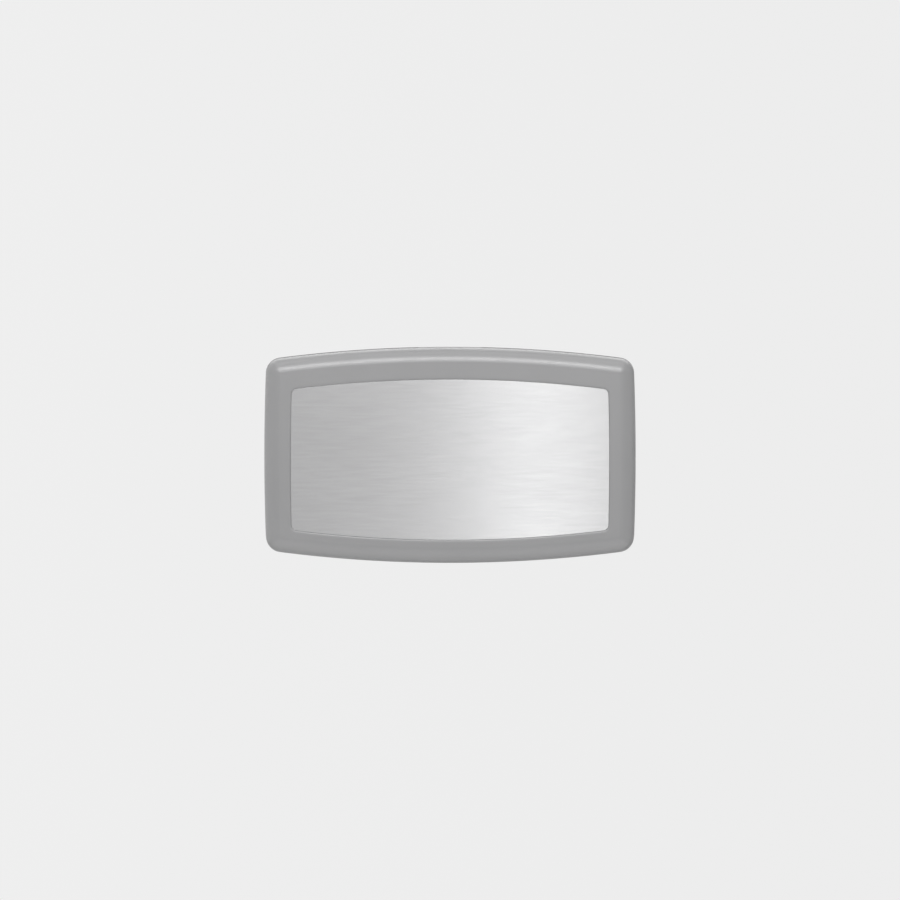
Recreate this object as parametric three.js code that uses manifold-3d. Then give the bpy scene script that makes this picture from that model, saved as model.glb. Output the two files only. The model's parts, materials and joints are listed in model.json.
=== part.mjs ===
// Baby changing station, horizontal, wall hung, shown folded shut.
// Units are millimetres. X runs right, Z runs up, the wall is the plane Y = 0 and
// the front faces -Y. Helper calls take "f", the distance in front of the wall (f = -Y).
import * as THREE from "three";
import { mergeVertices } from "three/addons/utils/BufferGeometryUtils.js";
import Module from "manifold-3d";

const wasm = await Module();
wasm.setup();

// ---------------------------------------------------------------- dimensions
const HALF_W = 469, HALF_H = 273;          // wall unit outline, half width and half height
const BOW_TB = 3386, BOW_S = 5600;         // radius of the bowed top/bottom and sides
const CORNER_R = 40;                       // outline corner
const BED_INSET = 2;                       // bed outline inside the wall unit outline
const FRONT_F = 102;                       // front face of the closed bed
const ROLL = 40;                           // rolled edge of the bed
const SHELL_T = 4, TRAY_T = 3.2;           // wall thicknesses
const RIM_F = 32;                          // rim plane of the bed, facing the wall unit
const PANEL_F = 28, STEP_F = 12;           // wall unit front, and its lower step
const STEP_Z = -205;
const HINGE_F = 50, HINGE_Z = -245;        // fold axis
const ROD_R = 6, ROD_HOLE = 6.4, KNUCKLE_R = 9.5, EAR_R = 9.1;
const NOTCH_X = 350, NOTCH_Z = -232, NOTCH_F = 62.3;
const INS_HW = 402, INS_HH = 202, INS_ZC = -11.4, INS_R = 12, INS_DEEP = 2.2, INS_T = 1.2;
const BASIN_HW = 424, BASIN_TOP = 226, BASIN_BOT = -203, BASIN_R = 95, FLOOR_F = 78;
const STUD_X = 203.2;                      // half of the 16 in stud spacing
const WELL_Z = [150, 0, -150];
const STRUT_X = 400, STRUT_A = 36;         // strut plane, and the pivots' offset from the fold axis
const BIN_HX = 150, BIN_Z0 = -20, BIN_Z1 = 150, BIN_F0 = 28.3, BIN_F1 = 66;
const LID_F = 33, LID_Z = 153.5;           // lid pivot
const LOCK_F = 50, BIN_SX = 110;
const HOOK_X = 300;
const GAP = 0.3;

// ---------------------------------------------------------------- helpers
const solidOf = (geometry) => {
  let g = geometry.index ? geometry.clone() : geometry.clone();
  for (const k of Object.keys(g.attributes)) if (k !== "position") g.deleteAttribute(k);
  g = mergeVertices(g, 1e-4);
  return new wasm.Manifold(new wasm.Mesh({
    numProp: 3,
    vertProperties: new Float32Array(g.attributes.position.array),
    triVerts: new Uint32Array(g.index.array),
  }));
};
const geometryOf = (s) => {
  const m = s.getMesh();
  const g = new THREE.BufferGeometry();
  g.setAttribute("position", new THREE.BufferAttribute(new Float32Array(m.vertProperties), 3));
  g.setIndex(new THREE.BufferAttribute(new Uint32Array(m.triVerts), 1));
  g.computeVertexNormals();
  return g;
};
const join = (...list) => list.reduce((a, b) => a.add(b));
const cut = (a, ...list) => list.reduce((s, b) => s.subtract(b), a);

const box = (x0, x1, f0, f1, z0, z1) => {
  const g = new THREE.BoxGeometry(x1 - x0, f1 - f0, z1 - z0);
  g.translate((x0 + x1) / 2, -(f0 + f1) / 2, (z0 + z1) / 2);
  return solidOf(g);
};
const rodX = (r, x0, x1, f, z, n = 16) => {
  const g = new THREE.CylinderGeometry(r, r, x1 - x0, n);
  g.rotateZ(Math.PI / 2);
  g.translate((x0 + x1) / 2, -f, z);
  return solidOf(g);
};
const rodY = (r, f0, f1, x, z, n = 16) => {
  const g = new THREE.CylinderGeometry(r, r, f1 - f0, n);
  g.translate(x, -(f0 + f1) / 2, z);
  return solidOf(g);
};
const rodZ = (r, z0, z1, x, f, n = 16) => {
  const g = new THREE.CylinderGeometry(r, r, z1 - z0, n);
  g.rotateX(Math.PI / 2);
  g.translate(x, -f, (z0 + z1) / 2);
  return solidOf(g);
};
// a profile of [f, z] points drawn out along X
const prismX = (points, x0, x1) => {
  const shape = new THREE.Shape(points.map(([f, z]) => new THREE.Vector2(-f, z)));
  const g = new THREE.ExtrudeGeometry(shape, { depth: x1 - x0, bevelEnabled: false, curveSegments: 8 });
  g.applyMatrix4(new THREE.Matrix4().set(0, 0, 1, x0, 1, 0, 0, 0, 0, 1, 0, 0, 0, 0, 0, 1));
  return solidOf(g);
};
// a profile of [x, z] points drawn out along f
const prismF = (points, f0, f1) => {
  const shape = new THREE.Shape(points.map(([x, z]) => new THREE.Vector2(x, z)));
  const g = new THREE.ExtrudeGeometry(shape, { depth: f1 - f0, bevelEnabled: false, curveSegments: 8 });
  g.applyMatrix4(new THREE.Matrix4().set(1, 0, 0, 0, 0, 0, -1, -f0, 0, 1, 0, 0, 0, 0, 0, 1));
  return solidOf(g);
};
// rounded rectangle as [x, z] points
const roundRect = (x0, x1, z0, z1, r, n = 5) => {
  const pts = [];
  const corner = (cx, cz, a0) => {
    for (let i = 0; i <= n; i++) {
      const a = a0 + (i / n) * Math.PI / 2;
      pts.push([cx + r * Math.cos(a), cz + r * Math.sin(a)]);
    }
  };
  corner(x1 - r, z0 + r, -Math.PI / 2);
  corner(x1 - r, z1 - r, 0);
  corner(x0 + r, z1 - r, Math.PI / 2);
  corner(x0 + r, z0 + r, Math.PI);
  return pts;
};

// bowed outline: four shallow arcs with round corners, as points with outward normals
const bowed = (hw, hh, zc, r, bowTB = BOW_TB, bowS = BOW_S, nTB = 10, nC = 4, nS = 3) => {
  const T = [0, hh - bowTB], S = [hw - bowS, 0];
  const r1 = bowTB - r, r2 = bowS - r;
  const dx = S[0] - T[0], dz = S[1] - T[1], d = Math.hypot(dx, dz);
  const a = (r1 * r1 - r2 * r2 + d * d) / (2 * d), h = Math.sqrt(r1 * r1 - a * a);
  const mx = T[0] + a * dx / d, mz = T[1] + a * dz / d;
  const c1 = [mx + h * dz / d, mz - h * dx / d], c2 = [mx - h * dz / d, mz + h * dx / d];
  const C = (c1[0] > 0 && c1[1] > 0) ? c1 : c2;
  const aS = Math.atan2(C[1] - S[1], C[0] - S[0]), aT = Math.atan2(C[1] - T[1], C[0] - T[0]);
  const out = [];
  const arc = (cx, cz, rad, a0, a1, n) => {
    for (let i = 0; i < n; i++) {
      const t = a0 + (a1 - a0) * i / n;
      out.push({ x: cx + rad * Math.cos(t), z: zc + cz + rad * Math.sin(t), nx: Math.cos(t), nz: Math.sin(t) });
    }
  };
  const P = Math.PI;
  arc(S[0], 0, bowS, -aS, aS, nS);
  arc(C[0], C[1], r, aS, aT, nC);
  arc(T[0], T[1], bowTB, aT, P - aT, nTB);
  arc(-C[0], C[1], r, P - aT, P - aS, nC);
  arc(-S[0], 0, bowS, P - aS, P + aS, nS);
  arc(-C[0], -C[1], r, P + aS, P + aT, nC);
  arc(0, -T[1], bowTB, P + aT, 2 * P - aT, nTB);
  arc(C[0], -C[1], r, 2 * P - aT, 2 * P - aS, nC);
  return out;
};
const ring = (base, inset, f) => base.map((p) => [p.x - inset * p.nx, -f, p.z - inset * p.nz]);
// closed skin through rings of equal count, capped at both ends; the first ring is a cap seen from its own side
const loft = (rings) => {
  const n = rings[0].length, pos = [], idx = [];
  rings.forEach((r) => r.forEach((p) => pos.push(...p)));
  for (let k = 0; k + 1 < rings.length; k++)
    for (let i = 0; i < n; i++) {
      const a = k * n + i, b = k * n + (i + 1) % n, c = a + n, d = b + n;
      idx.push(a, c, b, b, c, d);
    }
  const cap = (k, flip) => {
    const poly = rings[k].map((p) => new THREE.Vector2(p[0], p[2]));
    THREE.ShapeUtils.triangulateShape(poly, []).forEach(([a, b, c]) =>
      flip ? idx.push(k * n + a, k * n + c, k * n + b) : idx.push(k * n + a, k * n + b, k * n + c));
  };
  cap(0, false);
  cap(rings.length - 1, true);
  const g = new THREE.BufferGeometry();
  g.setAttribute("position", new THREE.BufferAttribute(new Float32Array(pos), 3));
  g.setIndex(idx);
  let s = solidOf(g);
  return s;
};

const group = new THREE.Group();
const PAINT = {
  grey: [0x9b9b9c, 0.48, 0], grey_light: [0xb4b5b7, 0.5, 0], steel: [0xd2d3d5, 0.32, 1], zinc: [0xb9bcc0, 0.4, 1],
  rod: [0xd9dade, 0.2, 1], black: [0x1d1d1f, 0.45, 0], rubber: [0x222224, 0.8, 0], web: [0x2b2d31, 0.9, 0],
  chrome: [0xe0e1e4, 0.15, 1], dark: [0x46484b, 0.5, 0],
};
const put = (name, solid, paint) => {
  const [c, r, m] = PAINT[paint];
  const mesh = new THREE.Mesh(geometryOf(solid), new THREE.MeshStandardMaterial({ color: c, roughness: r, metalness: m }));
  mesh.name = name;
  group.add(mesh);
};

// ---------------------------------------------------------------- outlines
const OUT = bowed(HALF_W, HALF_H, 0, CORNER_R);
const bedRing = (d, f) => ring(OUT, BED_INSET + d, f);
const INS = bowed(INS_HW, INS_HH, INS_ZC, INS_R, 3160, 6570);
const BAS = bowed(BASIN_HW, (BASIN_TOP - BASIN_BOT) / 2, (BASIN_TOP + BASIN_BOT) / 2, BASIN_R, 3300, 5800);
const panelBlock = loft([ring(OUT, 0, PANEL_F), ring(OUT, 0, 0)]);
const bedBlock = loft([bedRing(0.5, FRONT_F), bedRing(0.5, 0)]);

// ---------------------------------------------------------------- wall unit: rear panel
const sides = [-1, 1];
const sx = (s, a, b) => (s > 0 ? [a, b] : [-b, -a]);
{
  let p = loft([
    ring(OUT, 2.2, PANEL_F), ring(OUT, 0.6, PANEL_F - 0.8), ring(OUT, 0, PANEL_F - 2.4), ring(OUT, 0, 0),
    ring(OUT, 4, 0), ring(OUT, 4, PANEL_F - 3),
  ]);
  // lower step that clears the turning edge of the bed
  p = cut(p, box(-500, 500, STEP_F, 60, -320, STEP_Z));
  p = join(p, panelBlock.intersect(box(-500, 500, STEP_F - 3, STEP_F, -320, STEP_Z + 3)),
    panelBlock.intersect(box(-500, 500, STEP_F - 3, PANEL_F, STEP_Z, STEP_Z + 3)));
  // finger scoop behind the top edge of the bed
  p = cut(p, box(-80, 80, 10, 60, 238, 320));
  p = join(p, panelBlock.intersect(box(-83, 83, 7, 10, 235, 320)),
    panelBlock.intersect(box(-83, 83, 7, PANEL_F, 235, 238)),
    panelBlock.intersect(box(-83, -80, 7, PANEL_F, 235, 320)),
    panelBlock.intersect(box(80, 83, 7, PANEL_F, 235, 320)));
  for (const s of sides) {
    // strut pocket
    const [a0, a1] = sx(s, STRUT_X - 17, STRUT_X + 17), [b0, b1] = sx(s, STRUT_X - 14, STRUT_X + 14);
    p = join(p, panelBlock.intersect(box(a0, a1, 2.8, PANEL_F, -235, -190)));
    p = cut(p, box(b0, b1, 5, 60, -232, -193));
    // bolt wells over the steel bracket
    for (const z of WELL_Z) {
      p = join(p, box(s * STUD_X - 18, s * STUD_X + 18, 7.1, PANEL_F - 1, z - 18, z + 18));
      p = cut(p, rodY(15, 10, 60, s * STUD_X, z, 14), rodY(4.6, 0, 20, s * STUD_X, z, 10));
    }
    // slots for the hinge ears
    for (const e of [STUD_X - 30, STUD_X + 30]) {
      const [e0, e1] = sx(s, e - 3.3, e + 3.3);
      p = cut(p, box(e0, e1, 8, 14, HINGE_Z - 10.5, HINGE_Z + 10.5));
    }
    // bumper holes and hook screw holes
    p = cut(p, rodY(3.3, 20, 30, s * 300, 236, 8), rodY(3.3, 20, 30, s * 446, 20, 8),
      rodY(2.5, 20, 30, s * HOOK_X, 78, 6), rodY(2.5, 20, 30, s * HOOK_X, 36, 6), rodY(2.5, 20, 30, s * BIN_SX, 65, 6));
  }
  put("rear_panel", p, "grey");
}
// back plate closing the rear panel, flat on the wall
{
  let b = loft([ring(OUT, 4.4, 2.4), ring(OUT, 4.4, 0)]);
  for (const s of sides) for (const z of WELL_Z) b = cut(b, rodY(5, -1, 5, s * STUD_X, z, 10));
  put("back_plate", b, "dark");
}
// steel wall brackets with the hinge ears
for (const s of sides) {
  const side = s > 0 ? "right" : "left";
  let b = box(s * STUD_X - 36, s * STUD_X + 36, 2.8, 6.8, -256, 215);
  for (const z of WELL_Z) b = cut(b, rodY(4.5, 0, 10, s * STUD_X, z, 10));
  for (const e of [STUD_X - 30, STUD_X + 30]) {
    const [e0, e1] = sx(s, e - 2.5, e + 2.5);
    b = join(b, box(e0, e1, 4, HINGE_F, HINGE_Z - EAR_R, HINGE_Z + EAR_R), rodX(EAR_R, e0, e1, HINGE_F, HINGE_Z, 14));
    b = cut(b, rodX(ROD_HOLE, e0 - 1, e1 + 1, HINGE_F, HINGE_Z, 12));
  }
  put("wall_bracket_" + side, b, "zinc");
}
// hinge rod and its end caps
put("hinge_rod", rodX(ROD_R, -338, 338, HINGE_F, HINGE_Z, 12), "rod");
for (const s of sides) {
  const [c0, c1] = sx(s, 331, 343), [h0, h1] = sx(s, 325, 338 + GAP);
  put("rod_cap_" + (s > 0 ? "right" : "left"),
    cut(rodX(8.6, c0, c1, HINGE_F, HINGE_Z, 12), rodX(ROD_HOLE, h0, h1, HINGE_F, HINGE_Z, 12)), "black");
}

// ---------------------------------------------------------------- liner dispenser
{
  // back and floor in one piece, with the catch for the lock cam and the lugs for the lid pin
  let b = join(box(-BIN_HX, BIN_HX, BIN_F0, BIN_F0 + 2.2, BIN_Z0, BIN_Z1), box(-BIN_HX, BIN_HX, BIN_F0, BIN_F1 - 3, BIN_Z0, BIN_Z0 + 3),
    box(12, 24, BIN_F0 + 1, 58, 140.5, 143.5));
  for (const s of sides) {
    const [l0, l1] = sx(s, 96, 108);
    b = join(b, rodX(4.2, l0, l1, LID_F, LID_Z, 14), box(l0, l1, BIN_F0 + 1, LID_F + 4.2, 138, 149.5), box(l0, l1, LID_F, LID_F + 4.2, 149, LID_Z));
    b = cut(b, rodX(1.8 + GAP, l0 - 1, l1 + 1, LID_F, LID_Z, 10), rodY(2.5, 20, 40, s * BIN_SX, 65, 6));
  }
  put("dispenser_bin", b, "grey_light");
  // cheeks that close the ends
  for (const s of sides) {
    const [c0, c1] = sx(s, BIN_HX - 3, BIN_HX);
    put("dispenser_cheek_" + (s > 0 ? "right" : "left"), box(c0, c1, BIN_F0 + 2.2 + GAP, BIN_F1 - 3, BIN_Z0 + 3 + GAP, BIN_Z1), "grey_light");
  }
  // front with the liner slot
  put("dispenser_front", cut(box(-BIN_HX, BIN_HX, BIN_F1 - 3 + GAP, BIN_F1, BIN_Z0, BIN_Z1),
    prismF(roundRect(-90, 90, 2, 32, 14.9), BIN_F1 - 6, BIN_F1 + 6)), "grey_light");
  let l = box(-BIN_HX, BIN_HX, LID_F, 69.3, 150.5, LID_Z);
  l = cut(l, box(-120, 120, LID_F - 10, LID_F + 5, 140, 160));
  l = join(l, box(-95.5, 95.5, LID_F, LID_F + 6, 150.5, LID_Z), rodX(3.6, -95.5, 95.5, LID_F, LID_Z, 14));
  l = join(l, box(-BIN_HX, BIN_HX, BIN_F1 + GAP, 69.3, 138, LID_Z));
  l = cut(l, rodX(1.8 + GAP, -100, 100, LID_F, LID_Z, 10), rodZ(8.3, 140, 160, 0, LOCK_F, 16));
  put("dispenser_lid", l, "grey_light");
  for (const s of sides) put("bin_screw_" + (s > 0 ? "right" : "left"),
    join(rodY(2, 18, 31, s * BIN_SX, 65, 6), rodY(4.2, BIN_F0 + 2.2 + GAP, 32.6, s * BIN_SX, 65, 12)), "zinc");
  put("lid_pin", rodX(1.8, -110, 110, LID_F, LID_Z, 10), "rod");
  let barrel = join(rodZ(8, 141, 154, 0, LOCK_F, 16), rodZ(10, LID_Z + GAP, 155.4, 0, LOCK_F, 16));
  barrel = cut(barrel, rodZ(6, 130, 160, 0, LOCK_F, 16));
  put("lock_barrel", barrel, "chrome");
  put("lock_nut", cut(rodZ(11, 146.6, 150.5 - GAP, 0, LOCK_F, 6), rodZ(8.3, 140, 160, 0, LOCK_F, 16)), "zinc");
  let plug = cut(rodZ(5.7, 139.3, 155, 0, LOCK_F, 16), box(-0.6, 0.6, LOCK_F - 4, LOCK_F + 4, 152, 160));
  put("lock_plug", plug, "chrome");
  put("lock_cam", join(box(-5, 5, LOCK_F - 18, LOCK_F, 137, 139), rodZ(5, 137, 139, 0, LOCK_F, 14)), "zinc");
}

// ---------------------------------------------------------------- bag hooks
for (const s of sides) {
  const side = s > 0 ? "right" : "left", x = s * HOOK_X;
  let h = box(x - 14, x + 14, PANEL_F + GAP, 31.5, 26, 88);
  h = join(h, prismX([[31, 68], [31, 50], [40, 42.5], [48, 40], [55, 41.5], [60, 46], [61.5, 53], [61.5, 70], [59, 73], [56, 71],
    [55.6, 55], [54, 50.5], [49.5, 47.5], [44, 49.5], [39, 55], [36.5, 62]], x - 9, x + 9));
  h = cut(h, rodY(2.5, 20, 40, x, 78, 6), rodY(2.5, 20, 40, x, 36, 6));
  put("bag_hook_" + side, h, "grey_light");
  [78, 36].forEach((z, i) => put("hook_screw_" + side + "_" + (i + 1),
    join(rodY(2, 18, 32, x, z, 6), rodY(4.2, 31.5 + GAP, 33.6, x, z, 12)), "zinc"));
}

// ---------------------------------------------------------------- bumpers
for (const s of sides) {
  const side = s > 0 ? "right" : "left";
  put("bumper_top_" + side, join(rodY(3, 22, PANEL_F + 1, s * 300, 236, 8), rodY(8, PANEL_F + GAP, RIM_F - GAP, s * 300, 236, 16)), "rubber");
  put("bumper_side_" + side, join(rodY(3, 22, PANEL_F + 1, s * 446, 20, 8), rodY(8, PANEL_F + GAP, RIM_F - GAP, s * 446, 20, 16)), "rubber");
}

// ---------------------------------------------------------------- bed shells
const strutCut = (grow) => [[20, -190 + grow], [93 + grow, -190 + grow], [93 + grow, -216 - grow * 0.4], [57 + grow, -252 - grow * 0.4], [57 + grow, -300], [20, -300]];
{
  const roll = [];
  for (let i = 0; i <= 6; i++) {
    const a = (i / 6) * Math.PI / 2;
    roll.push([ROLL * (1 - Math.sin(a)), FRONT_F - ROLL * (1 - Math.cos(a))]);
  }
  const inner = [];
  for (let i = 0; i <= 4; i++) {
    const a = (i / 4) * Math.PI / 2, r = ROLL - SHELL_T;
    inner.push([ROLL - r * Math.cos(a), FRONT_F - ROLL + r * Math.sin(a)]);
  }
  roll[0][0] = ROLL - 1.5;
  let s = loft([
    ring(INS, -0.4, FRONT_F - INS_DEEP), ring(INS, -2, FRONT_F),
    ...roll.map(([d, f]) => bedRing(Math.min(d, ROLL - 2.5), f)), bedRing(0.4, RIM_F + TRAY_T + GAP),
    bedRing(SHELL_T, RIM_F + TRAY_T + GAP),
    ...inner.map(([d, f]) => bedRing(Math.min(d, ROLL - 2.5), Math.min(f, FRONT_F - SHELL_T - 1))),
  ]);
  s = cut(s, box(-NOTCH_X - 3.3, NOTCH_X + 3.3, 0, NOTCH_F + 3.3, -320, NOTCH_Z + 3.3));
  for (const sgn of sides) {
    const [a0, a1] = sx(sgn, STRUT_X - 16.8, STRUT_X + 16.8);
    s = cut(s, prismX(strutCut(2.8), a0, a1));
  }
  put("bed_outer_shell", s, "grey");

  const top = [[0, RIM_F], [4, RIM_F + 1.2], [8.5, RIM_F + 5], [30, RIM_F + 34.5], [38, RIM_F + 41], [50, RIM_F + 44.8], [70, FLOOR_F]];
  const under = [[70, FLOOR_F + TRAY_T], [49, RIM_F + 48], [36, RIM_F + 43.6], [27, RIM_F + 36.5], [5.5, RIM_F + 7], [2, RIM_F + 4.2], [-1, RIM_F + TRAY_T]];
  let t = loft([
    ...under.map(([d, f]) => ring(BAS, d, f)), bedRing(0.5, RIM_F + TRAY_T), bedRing(0.5, RIM_F + 1.4), bedRing(1.9, RIM_F),
    ...top.map(([d, f]) => ring(BAS, d, f)),
  ]);
  // walls of the hinge bay and of the strut pockets
  const bayOut = box(-NOTCH_X - 3, NOTCH_X + 3, RIM_F, NOTCH_F + 3, -320, NOTCH_Z + 3);
  t = join(t, bedBlock.intersect(bayOut));
  t = cut(t, box(-NOTCH_X, NOTCH_X, 0, NOTCH_F, -320, NOTCH_Z));
  const pocketEdge = loft([bedRing(SHELL_T + GAP, FRONT_F), bedRing(SHELL_T + GAP, 0)]);
  for (const sgn of sides) {
    const [a0, a1] = sx(sgn, STRUT_X - 16.5, STRUT_X + 16.5), [b0, b1] = sx(sgn, STRUT_X - 14, STRUT_X + 14);
    t = join(t, pocketEdge.intersect(prismX(strutCut(2.5), a0, a1)).intersect(box(-500, 500, RIM_F, 120, -320, 0)));
    t = cut(t, prismX(strutCut(0), b0, b1));
  }
  // holes for the hinge leaf screws
  for (const x of [-STUD_X, -75, 75, STUD_X]) t = cut(t, rodZ(2.6, NOTCH_Z - 1, NOTCH_Z + 5, x, 48, 6));
  // and for the strap anchor screws
  for (const sgn of sides) for (const z of [139, -121.5]) t = cut(t, rodY(2.5, FLOOR_F - 3, FLOOR_F + 6, sgn * 24.5, z, 6));
  put("bed_tray", t, "grey");

  put("steel_insert", loft([ring(INS, 0, FRONT_F - INS_DEEP + GAP + INS_T), ring(INS, 0, FRONT_F - INS_DEEP + GAP)]), "steel");
}

// ---------------------------------------------------------------- hinge leaf on the bed
{
  let l = join(box(-330, 330, 59.3, 62, -254, -232.4), box(-330, 330, 34, 62, -234.9, -232.4));
  for (const [a, b] of [[-40, 40], [110, 166], [-166, -110], [240, 330], [-330, -240]]) l = join(l, rodX(KNUCKLE_R, a, b, HINGE_F, HINGE_Z, 14), box(a, b, 57, 60, HINGE_Z - 5, HINGE_Z + 5));
  l = cut(l, rodX(ROD_HOLE, -400, 400, HINGE_F, HINGE_Z, 12));
  for (const x of [-STUD_X, -75, 75, STUD_X]) l = cut(l, rodZ(2.6, -240, -230, x, 48, 6));
  put("hinge_leaf", l, "zinc");
  [-STUD_X, -75, 75, STUD_X].forEach((x, i) => put("leaf_screw_" + (i + 1),
    join(rodZ(2.2, -236, -216, x, 48, 6), rodZ(4.6, -237.3, -235.2, x, 48, 12)), "zinc"));
}

// ---------------------------------------------------------------- gas struts, one each side
const AF = HINGE_F - STRUT_A, BF = HINGE_F + STRUT_A, PZ = HINGE_Z + STRUT_A;
for (const s of sides) {
  const side = s > 0 ? "right" : "left", x = s * STRUT_X;
  // wall clevis
  let w = box(x - 12, x + 12, 5.3, 7.6, -230, -195);
  for (const c of [-6.2, 6.2]) w = join(w, box(x + c - 1.6, x + c + 1.6, 6, AF, PZ - 6.5, PZ + 6.5), rodX(6.5, x + c - 1.6, x + c + 1.6, AF, PZ, 12));
  w = cut(w, rodX(3 + GAP, x - 20, x + 20, AF, PZ, 10));
  put("strut_wall_clevis_" + side, w, "zinc");
  put("strut_wall_pin_" + side, join(rodX(3, x - 9.6, x + 8.6, AF, PZ, 10), rodX(4.6, x + 8.2, x + 10, AF, PZ, 10)), "rod");
  // bed clevis
  let b = box(x - 12, x + 12, 74, 92.6, -193, -190.3);
  for (const c of [-6.2, 6.2]) b = join(b, box(x + c - 1.6, x + c + 1.6, BF - 6.3, BF + 6.3, PZ, -192), rodX(6.3, x + c - 1.6, x + c + 1.6, BF, PZ, 12));
  b = cut(b, rodX(3 + GAP, x - 20, x + 20, BF, PZ, 10));
  put("strut_bed_clevis_" + side, b, "zinc");
  put("strut_bed_pin_" + side, join(rodX(3, x - 9.6, x + 8.6, BF, PZ, 10), rodX(4.6, x + 8.2, x + 10, BF, PZ, 10)), "rod");
  // rod with its eye and piston
  let r = join(rodX(6, x - 4, x + 4, AF, PZ, 12), rodY(3.6, AF, AF + 55, x, PZ, 12), rodY(6.2, AF + 52.4, AF + 57.3, x, PZ, 14));
  r = cut(r, rodX(3 + GAP, x - 10, x + 10, AF, PZ, 10));
  put("strut_rod_" + side, r, "rod");
  // cylinder with its eye
  let c = join(rodY(8.5, BF - 54, BF - 8, x, PZ, 16), rodX(6, x - 4, x + 4, BF, PZ, 12), box(x - 4, x + 4, BF - 10, BF, PZ - 5, PZ + 5));
  c = cut(c, rodX(3 + GAP, x - 10, x + 10, BF, PZ, 10), rodY(6.8, BF - 50, BF - 14, x, PZ, 14), rodY(4.1, BF - 60, BF - 40, x, PZ, 12));
  put("strut_cylinder_" + side, c, "black");
}

// ---------------------------------------------------------------- safety strap
const floorTop = FLOOR_F - GAP;                 // the strap lies on the basin floor
const ANCHOR_SX = 24.5;
// plate bridging the webbing, on two feet
const anchor = (z0, z1) => {
  const zm = (z0 + z1) / 2;
  let a = prismF(roundRect(-30, 30, z0, z1, 4, 3), 73.4, 75.4);
  a = join(a, box(-29, -20, 75, floorTop, z0 + 1, z1 - 1), box(20, 29, 75, floorTop, z0 + 1, z1 - 1));
  return cut(a, rodY(2.5, 70, 80, -ANCHOR_SX, zm, 6), rodY(2.5, 70, 80, ANCHOR_SX, zm, 6));
};
put("strap_anchor_front", anchor(128, 150), "black");
put("strap_anchor_rear", anchor(-131, -112), "black");
for (const s of sides) for (const [tag, z] of [["front", 139], ["rear", -121.5]])
  put("anchor_screw_" + tag + "_" + (s > 0 ? "right" : "left"),
    join(rodY(2, 72.5, 84, s * ANCHOR_SX, z, 6), rodY(4, 71.4, 73.4 - GAP, s * ANCHOR_SX, z, 12)), "zinc");
// webbing of thickness t along a centre line of [f, z] points
const ribbon = (path, t, hw) => {
  const n = path.length, a = [], b = [];
  path.forEach(([f, z], i) => {
    const p0 = path[Math.max(0, i - 1)], p1 = path[Math.min(n - 1, i + 1)];
    const d = Math.hypot(p1[0] - p0[0], p1[1] - p0[1]), nf = -(p1[1] - p0[1]) / d, nz = (p1[0] - p0[0]) / d;
    a.push([f + nf * t / 2, z + nz * t / 2]);
    b.push([f - nf * t / 2, z - nz * t / 2]);
  });
  return prismX([...a, ...b.reverse()], -hw, hw);
};
put("strap_long", ribbon([[76.85, 148], [76.85, -18], [76.2, -24], [72.9, -33.5], [72.3, -37], [72.3, -66], [71.3, -72], [70.6, -77],
  [70.8, -81], [72.2, -88], [72.7, -98], [72.1, -110], [72.0, -134], [71.8, -152]], 1.5, 19), "web");
put("strap_short", ribbon([[76.8, -130], [76.8, -78.2], [76.3, -76.7], [74.5, -75.8], [73.0, -76.5], [72.5, -78], [72.5, -80.2],
  [73.2, -82.2], [74.6, -84.2], [74.7, -97]], 1.4, 19), "web");
{
  const PF = 65.6, PZB = -58;                   // lever pivot
  let fr = prismF(roundRect(-24.5, 24.5, -80, -36, 3, 3), 73.6, 75.4);
  for (const s of sides) { const [c0, c1] = sx(s, 20.9, 24.4); fr = join(fr, box(c0, c1, 61.2, 74.5, -68, -47)); }
  fr = cut(fr, rodX(2 + GAP, -30, 30, PF, PZB, 10), box(-19.7, 19.7, 70, 80, -77.6, -73.2));
  put("buckle_frame", fr, "chrome");
  put("buckle_pin", rodX(2, -25.4, 25.4, PF, PZB, 10), "rod");
  let lv = join(rodX(5.5, -20.4, 20.4, PF, PZB, 16),
    prismX([[67.5, -62.8], [63, -62.6], [60.9, -59], [61.3, -48], [62.2, -34], [61.2, -26.5], [63.3, -25.4], [65.2, -33], [67, -46], [69.5, -54.5]], -20.4, 20.4));
  lv = cut(lv, rodX(2 + GAP, -30, 30, PF, PZB, 10));
  put("buckle_lever", lv, "chrome");
}

export default group;
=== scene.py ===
import json
import math

import bmesh
import bpy
from mathutils import Matrix, Vector
from mathutils.kdtree import KDTree

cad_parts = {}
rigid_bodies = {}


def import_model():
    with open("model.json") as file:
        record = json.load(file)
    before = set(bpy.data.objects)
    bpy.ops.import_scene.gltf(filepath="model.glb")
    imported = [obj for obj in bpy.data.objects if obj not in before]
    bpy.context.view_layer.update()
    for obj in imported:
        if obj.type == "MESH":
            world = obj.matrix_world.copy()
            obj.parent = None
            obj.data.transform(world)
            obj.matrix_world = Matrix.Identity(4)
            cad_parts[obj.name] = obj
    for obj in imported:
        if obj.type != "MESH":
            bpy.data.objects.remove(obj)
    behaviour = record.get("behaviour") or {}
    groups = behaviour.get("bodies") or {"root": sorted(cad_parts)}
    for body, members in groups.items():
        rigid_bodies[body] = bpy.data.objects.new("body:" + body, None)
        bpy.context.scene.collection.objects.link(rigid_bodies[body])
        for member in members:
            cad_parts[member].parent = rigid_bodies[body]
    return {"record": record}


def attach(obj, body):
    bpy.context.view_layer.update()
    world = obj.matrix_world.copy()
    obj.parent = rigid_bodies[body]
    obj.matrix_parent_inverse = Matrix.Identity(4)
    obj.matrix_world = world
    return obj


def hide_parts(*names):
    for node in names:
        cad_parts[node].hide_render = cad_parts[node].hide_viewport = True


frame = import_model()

for o in list(bpy.context.scene.objects):
    if o.name in ("Cube", "Light", "Camera"):
        bpy.data.objects.remove(o)
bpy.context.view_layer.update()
BODY = {n: b for b, members in frame["record"]["behaviour"]["bodies"].items() for n in members}
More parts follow.
